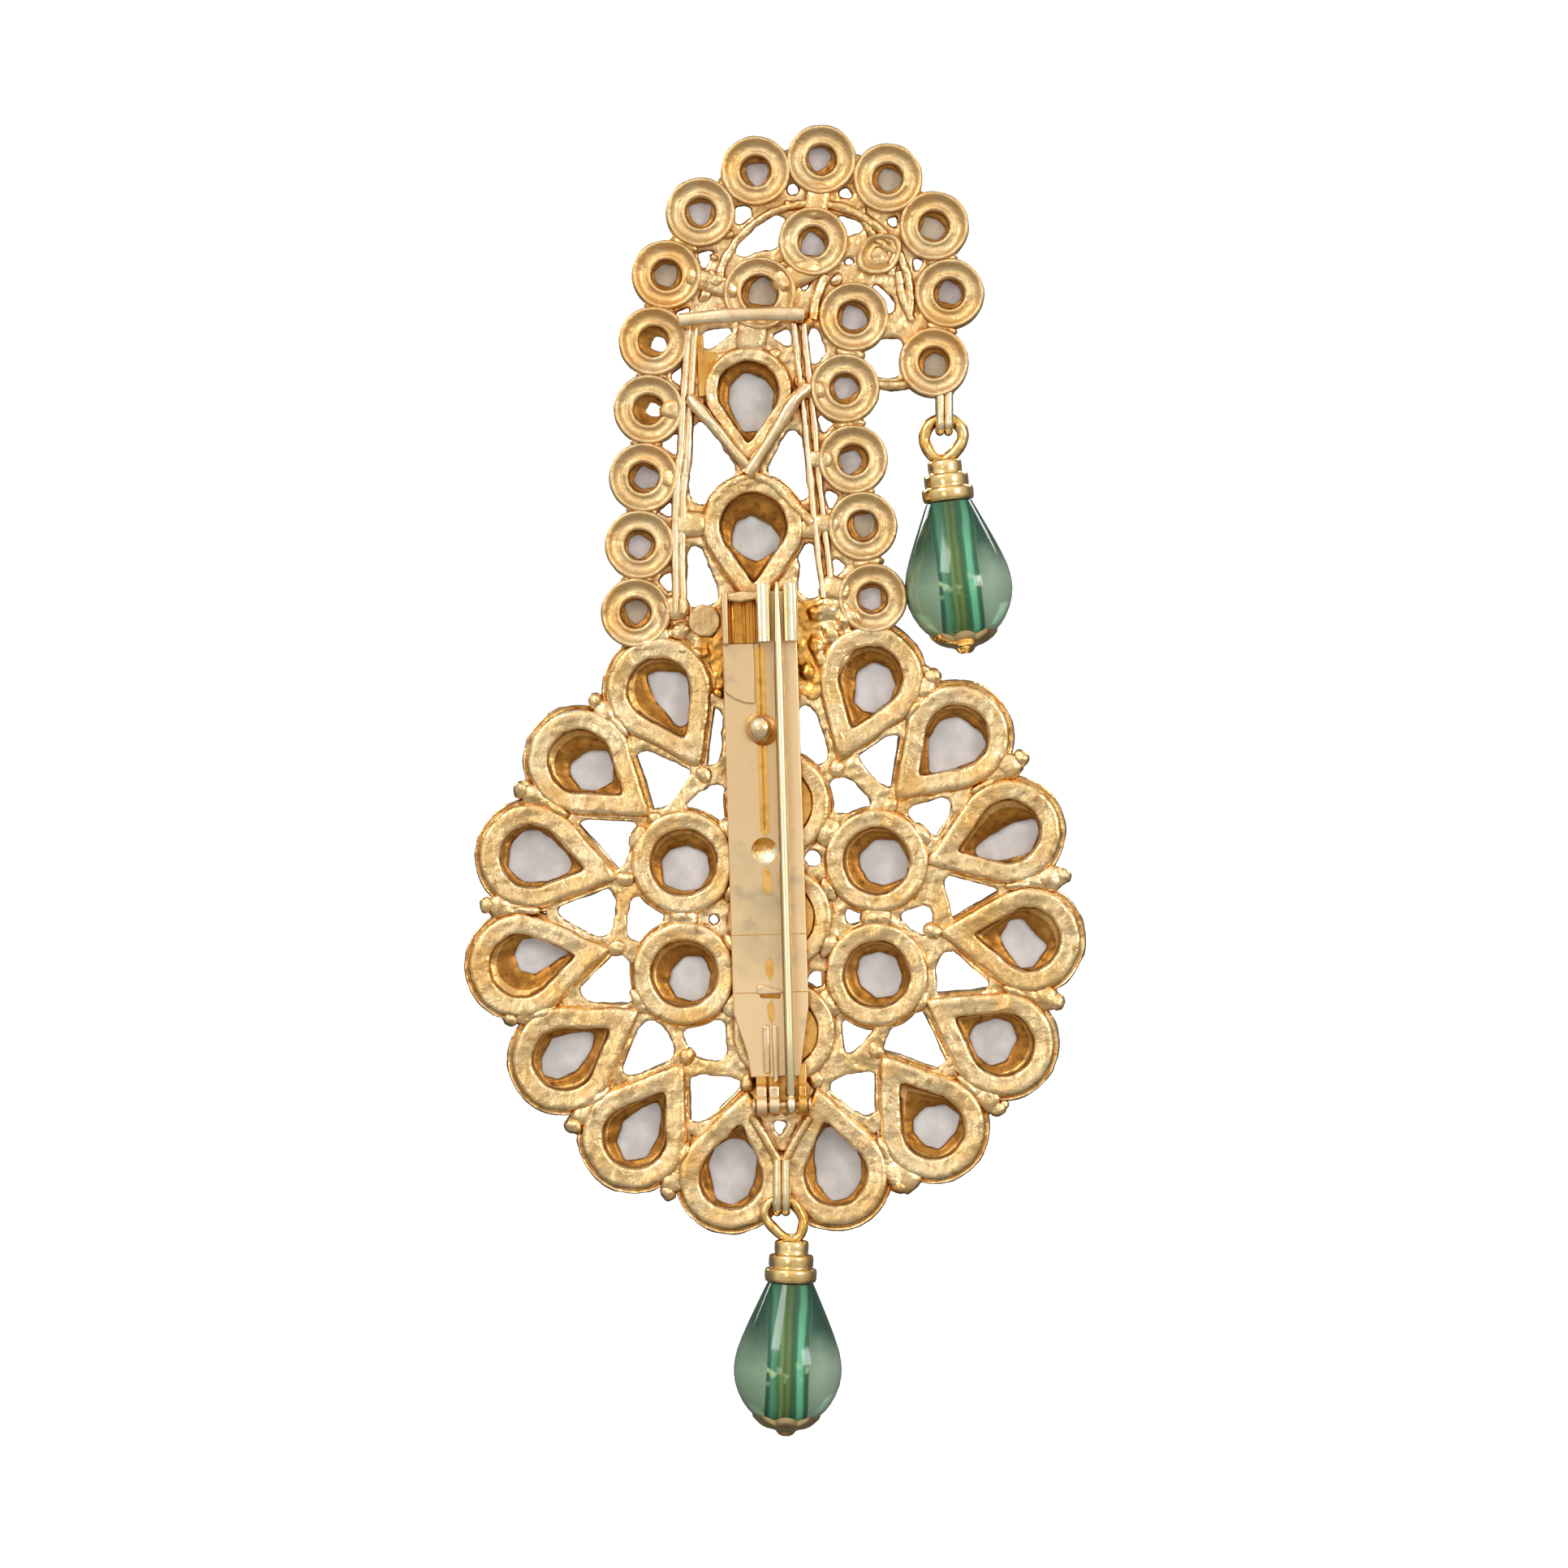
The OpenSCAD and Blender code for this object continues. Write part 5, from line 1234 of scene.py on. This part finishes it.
# half sections of the shank and the caps: radius, and distance below the loop's middle
shank_rows = [(0.34, 1.7), (0.34, 12.0), (0.34, 20.6), (0.35, 21.35), (0.22, 21.45), (0.05, 21.47)]
cap_rows = [(0.05, 2.30), (1.38, 2.30), (1.60, 2.38), (1.68, 2.55), (1.70, 3.1), (1.64, 3.62),
            (1.72, 3.70), (2.06, 3.72), (2.17, 3.82), (2.21, 4.1), (2.21, 4.7), (2.15, 4.96),
            (2.20, 5.04), (2.44, 5.06), (2.55, 5.18), (2.58, 5.5), (2.56, 6.0), (2.48, 6.32),
            (2.31, 6.40), (0.55, 6.40), (0.50, 6.3), (0.05, 6.2)]
end_rows = [(3.02, 19.50), (3.28, 19.32), (3.42, 19.38), (3.30, 19.78), (2.85, 20.22),
            (2.10, 20.60), (1.42, 20.86), (1.02, 21.04), (0.88, 21.24), (0.70, 21.44),
            (0.42, 21.56), (0.40, 21.3), (0.45, 20.6), (0.5, 20.36), (1.7, 20.34),
            (2.4, 20.08), (3.02, 19.50)]
# petals of the flower cap: their number, where they start and how far they reach, and how
# far the notches between them go in and down
petals, petal_start, petal_long, notch_in, notch_down = 8, 1.2, 1.8, 0.12, 0.34
# how far above a loop's middle its bend starts, and the length that it takes
bend_start, bend_long = 0.6, 2.9
bead_wider = 1.02
cap_gold = gilt("smooth gold of the caps", (1.0, 0.74, 0.36), (0.92, 0.62, 0.24),
                (0.72, 0.46, 0.15), (0.40, 0.16, 0.02), polish=0.16, grain=0.06, reach=0.7 * mm)
loop_gold = gilt("orange gold of the loops", (0.98, 0.66, 0.26), (0.86, 0.50, 0.13),
                 (0.66, 0.34, 0.07), (0.30, 0.11, 0.01), polish=0.20, grain=0.10, reach=0.8 * mm)
shell_rows = [(drill, bead_top + 0.02)]
shell_rows += [(size * bead_wider, bead_top + share * bead_long)
               for share, size in bead_half]
shell_rows += [(drill, bead_top + bead_long - 0.02), (drill, bead_top + 8.0),
               (drill, bead_top + 0.02)]


def hung(rows, corners, metal, hollow=False, angle=50):
    """Turned as it hangs, its rows measured down from the loop's middle."""
    return lathed([(size, -drop) for size, drop in rows], corners, metal, hollow, angle)


# place of each loop's middle, how much wider than its pattern it is, the radius of its
# wire, how far it is bent at its foot, and the lean of its shank
for drop, x, y, z, widened, thick, foot, hang in (
        ("lower", lower_x, lower_y, lower_z, 1.0, 0.51, 1.08, -1.8),
        ("upper", upper_x, upper_y, upper_z, 1.06, 0.60, -0.28, 6.5)):
    body = drop + "_drop"
    bent = [(px * widened + foot * min(1.0, max(0.0, (bend_start - pz) / bend_long)), pz)
            for px, pz in loop_places]
    loop = set_down(wire(bent, thick, metal=loop_gold, closed=True), x, z, 0, y)
    green = clouded_glass(drop + " glass", x + foot, y, z, hang)
    on_shank = [hung(shank_rows, 20, cap_gold), hung(cap_rows, 64, cap_gold, angle=70),
                hung(shell_rows, 96, green, hollow=True),
                hung(end_rows, 96, cap_gold, hollow=True)]
    for corner in on_shank[-1].data.vertices:
        size = math.hypot(corner.co.x, corner.co.y)
        if size > petal_start * mm:
            turn = math.atan2(corner.co.y, corner.co.x)
            share = (size / mm - petal_start) / petal_long
            notch = 1 - abs(math.cos(petals / 2 * turn))
            corner.co.x *= 1 - notch_in * share * notch
            corner.co.y *= 1 - notch_in * share * notch
            corner.co.z -= share * notch_down * mm * notch
    for part in on_shank:
        set_down(part, x + foot, z, hang, y)
    for part, name, node, slot in zip(
            [loop] + on_shank, ("_loop", "_shank", "_stepped_cap", "_glass", "_flower_cap"),
            ("_pin", "_pin", "_cap", "_bead", "_end"),
            ("gold", "gold", "gold", "green_glass", "gold")):
        part.name = body + name
        fixed(part, body + node, body)


# Stones: pale foiled stones in every cup, clouded and a little scratched. Two of the
# small ones have lost their foil, and the white behind shows through them.
def pale_stone(name, light, shade, warm, roughness, clear=0.0):
    recipe = Recipe(name)
    clouds = recipe.noise(420.0, 4.0)
    flecks = recipe.noise(1700.0, 3.0)
    colour = clouds.between(0.38, 0.62).blend(light, shade)
    colour = flecks.between(0.60, 0.74).blend(colour, warm)
    return recipe.give(Base_Color=colour, Roughness=roughness + flecks * 0.15, IOR=1.55,
                       Transmission_Weight=clear, Coat_Weight=0.6, Coat_Roughness=0.08,
                       Normal=recipe.bump(flecks, 0.12, 0.06 * mm))


large_stone = pale_stone("milky stone", (0.66, 0.62, 0.60), (0.52, 0.48, 0.46),
                         (0.60, 0.53, 0.44), 0.14)
# painted shade: the stem's stones are a darker copy of the milky stone
shaded_stem_stone = pale_stone("milky stone of the stem", (0.58, 0.55, 0.52), (0.44, 0.41, 0.38),
                        (0.50, 0.43, 0.34), 0.14)
small_stone = pale_stone("small grey stone", (0.56, 0.50, 0.49), (0.40, 0.34, 0.32),
                         (0.46, 0.34, 0.20), 0.20)
dark_stone = pale_stone("small stone with brown foil", (0.50, 0.40, 0.28), (0.38, 0.28, 0.17),
                        (0.26, 0.17, 0.08), 0.24)
clear_stone = pale_stone("small clear stone", (0.96, 0.96, 0.96), (0.90, 0.90, 0.90),
                         (0.80, 0.74, 0.62), 0.06, clear=1.0)
kinds = {"pear_stone": large_stone, "round_stone": large_stone, "stem_pear": shaded_stem_stone,
         "small_stone": small_stone, "leaf_stone": dark_stone}
odd_stones = {f"small_stone_{number:02d}": dark_stone for number in (1, 6, 10, 11, 13, 15, 20)}
odd_stones.update({"small_stone_04": clear_stone, "small_stone_05": clear_stone})
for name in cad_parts:
    for kind, usual in kinds.items():
        if name.startswith(kind):
            stone = bpy.data.objects[name]
            stone.data.materials.clear()
            stone.data.materials.append(odd_stones.get(name, usual))

# Table and paper: a sweep of pale paper that comes forward under the ornament, rises
# in a round bend far behind it and goes on up as a wall.
paper = Recipe("pale paper")
fibre = paper.noise(40.0, 3.0)
paper_white = fibre.blend((0.86, 0.86, 0.86), (0.90, 0.90, 0.90))
paper.give(Base_Color=paper_white, Roughness=0.85, Emission_Color=(1.0, 1.0, 1.0),
           Emission_Strength=0.55)
# in metres: the table's height, its width and how far it comes forward, where it starts to
# rise, the radius of the rise and the height of the wall above it
floor_z, floor_width, forward, rise_y, sweep, wall_high = -0.080, 5.0, 1.4, 1.1, 0.5, 2.0
deselect()
bpy.ops.mesh.primitive_plane_add(size=1.0)
floor = bpy.context.object
floor.name = "paper_sweep"
floor.scale = (floor_width, rise_y + forward, 1.0)
floor.location = (0, (rise_y - forward) / 2, floor_z)
bpy.ops.object.transform_apply(location=True, rotation=True, scale=True)
edit(floor)
bpy.ops.mesh.select_mode(type="EDGE")
bpy.ops.mesh.select_all(action="DESELECT")
mesh = bmesh.from_edit_mesh(floor.data)
for edge in mesh.edges:
    edge.select_set(all(corner.co.y > rise_y - 0.01 for corner in edge.verts))
bmesh.update_edit_mesh(floor.data)
steps = 12
last_y, last_z = rise_y, floor_z
for step in range(1, steps + 2):
    turn = math.radians(90 * min(step, steps) / steps)
    next_y = rise_y + sweep * math.sin(turn)
    next_z = floor_z + sweep * (1 - math.cos(turn)) + (wall_high if step > steps else 0.0)
    bpy.ops.mesh.extrude_edges_move(
        TRANSFORM_OT_translate={"value": (0, next_y - last_y, next_z - last_z)})
    last_y, last_z = next_y, next_z
bpy.ops.mesh.select_mode(type="VERT")
finish(floor, paper.material)
floor.visible_glossy = False
floor.visible_diffuse = False

# Light of the room, which the metal mirrors: brighter above and at the viewer's side,
# with five soft lamps round the ornament.
scene = bpy.context.scene
scene.world = scene.world or bpy.data.worlds.new("studio")
scene.world.use_nodes = True
scene.world.node_tree.nodes.clear()
room = Mixture(scene.world.node_tree)
way = room.add("ShaderNodeTexCoord", {}, {}, "Generated")
softly = {"interpolation_type": "SMOOTHSTEP"}
from_below = room.add("ShaderNodeMapRange", softly,
                      {0: room.measured(way, 2), 1: -0.7, 2: 0.6, 3: 0.46, 4: 1.08})
from_behind = room.add("ShaderNodeMapRange", softly,
                       {0: room.measured(way, 1), 1: 0.40, 2: -0.65, 3: 0.22, 4: 1.0})
strength = from_below * from_behind * 0.97
lit = room.add("ShaderNodeBackground", {}, {0: (1.0, 1.0, 1.0), 1: strength})
white = room.add("ShaderNodeBackground", {}, {0: (1.0, 1.0, 1.0), 1: 1.0})
seen = room.add("ShaderNodeLightPath", {}, {}, "Is Camera Ray")
either = room.add("ShaderNodeMixShader", {}, {0: seen, 1: lit, 2: white})
room.add("ShaderNodeOutputWorld", {}, {0: either})


def soft_lamp(name, place, size, watts):
    deselect()
    bpy.ops.object.light_add(type="AREA", location=place)
    lamp = bpy.context.object
    lamp.name = name
    lamp.data.shape = "SQUARE"
    lamp.data.size = size
    lamp.data.energy = watts
    lamp.rotation_euler = Vector(place).to_track_quat("Z", "Y").to_euler()


# place, size of its square and power
soft_lamp("lamp_left", (-0.32, -0.50, 0.42), 0.26, 1.4)
soft_lamp("lamp_front", (-0.20, -0.60, -0.02), 0.12, 0.16)
soft_lamp("lamp_right", (0.42, -0.46, 0.16), 0.20, 1.0)
soft_lamp("lamp_behind_left", (-0.50, 0.45, 0.35), 0.30, 2.0)
soft_lamp("lamp_behind_right", (0.45, 0.50, 0.50), 0.30, 1.6)

# Camera: square on to the pin side, as the ornament lies in the photograph.
# Lengths are in millimetres, and the photograph's pixels are 0.08 mm wide.
pixels, pixel_size = 1932, 0.08
lens, sensor = 120.0, 36.0
view_middle_z = 6.4
camera_y = back - pixels * pixel_size * lens / sensor
deselect()
bpy.ops.object.camera_add(location=(0, camera_y * mm, view_middle_z * mm),
                          rotation=(math.pi / 2, 0, 0))
camera = bpy.context.object
camera.data.lens = lens
camera.data.sensor_width = sensor
camera.data.clip_start = 0.01
scene.camera = camera
scene.view_settings.view_transform = "Standard"
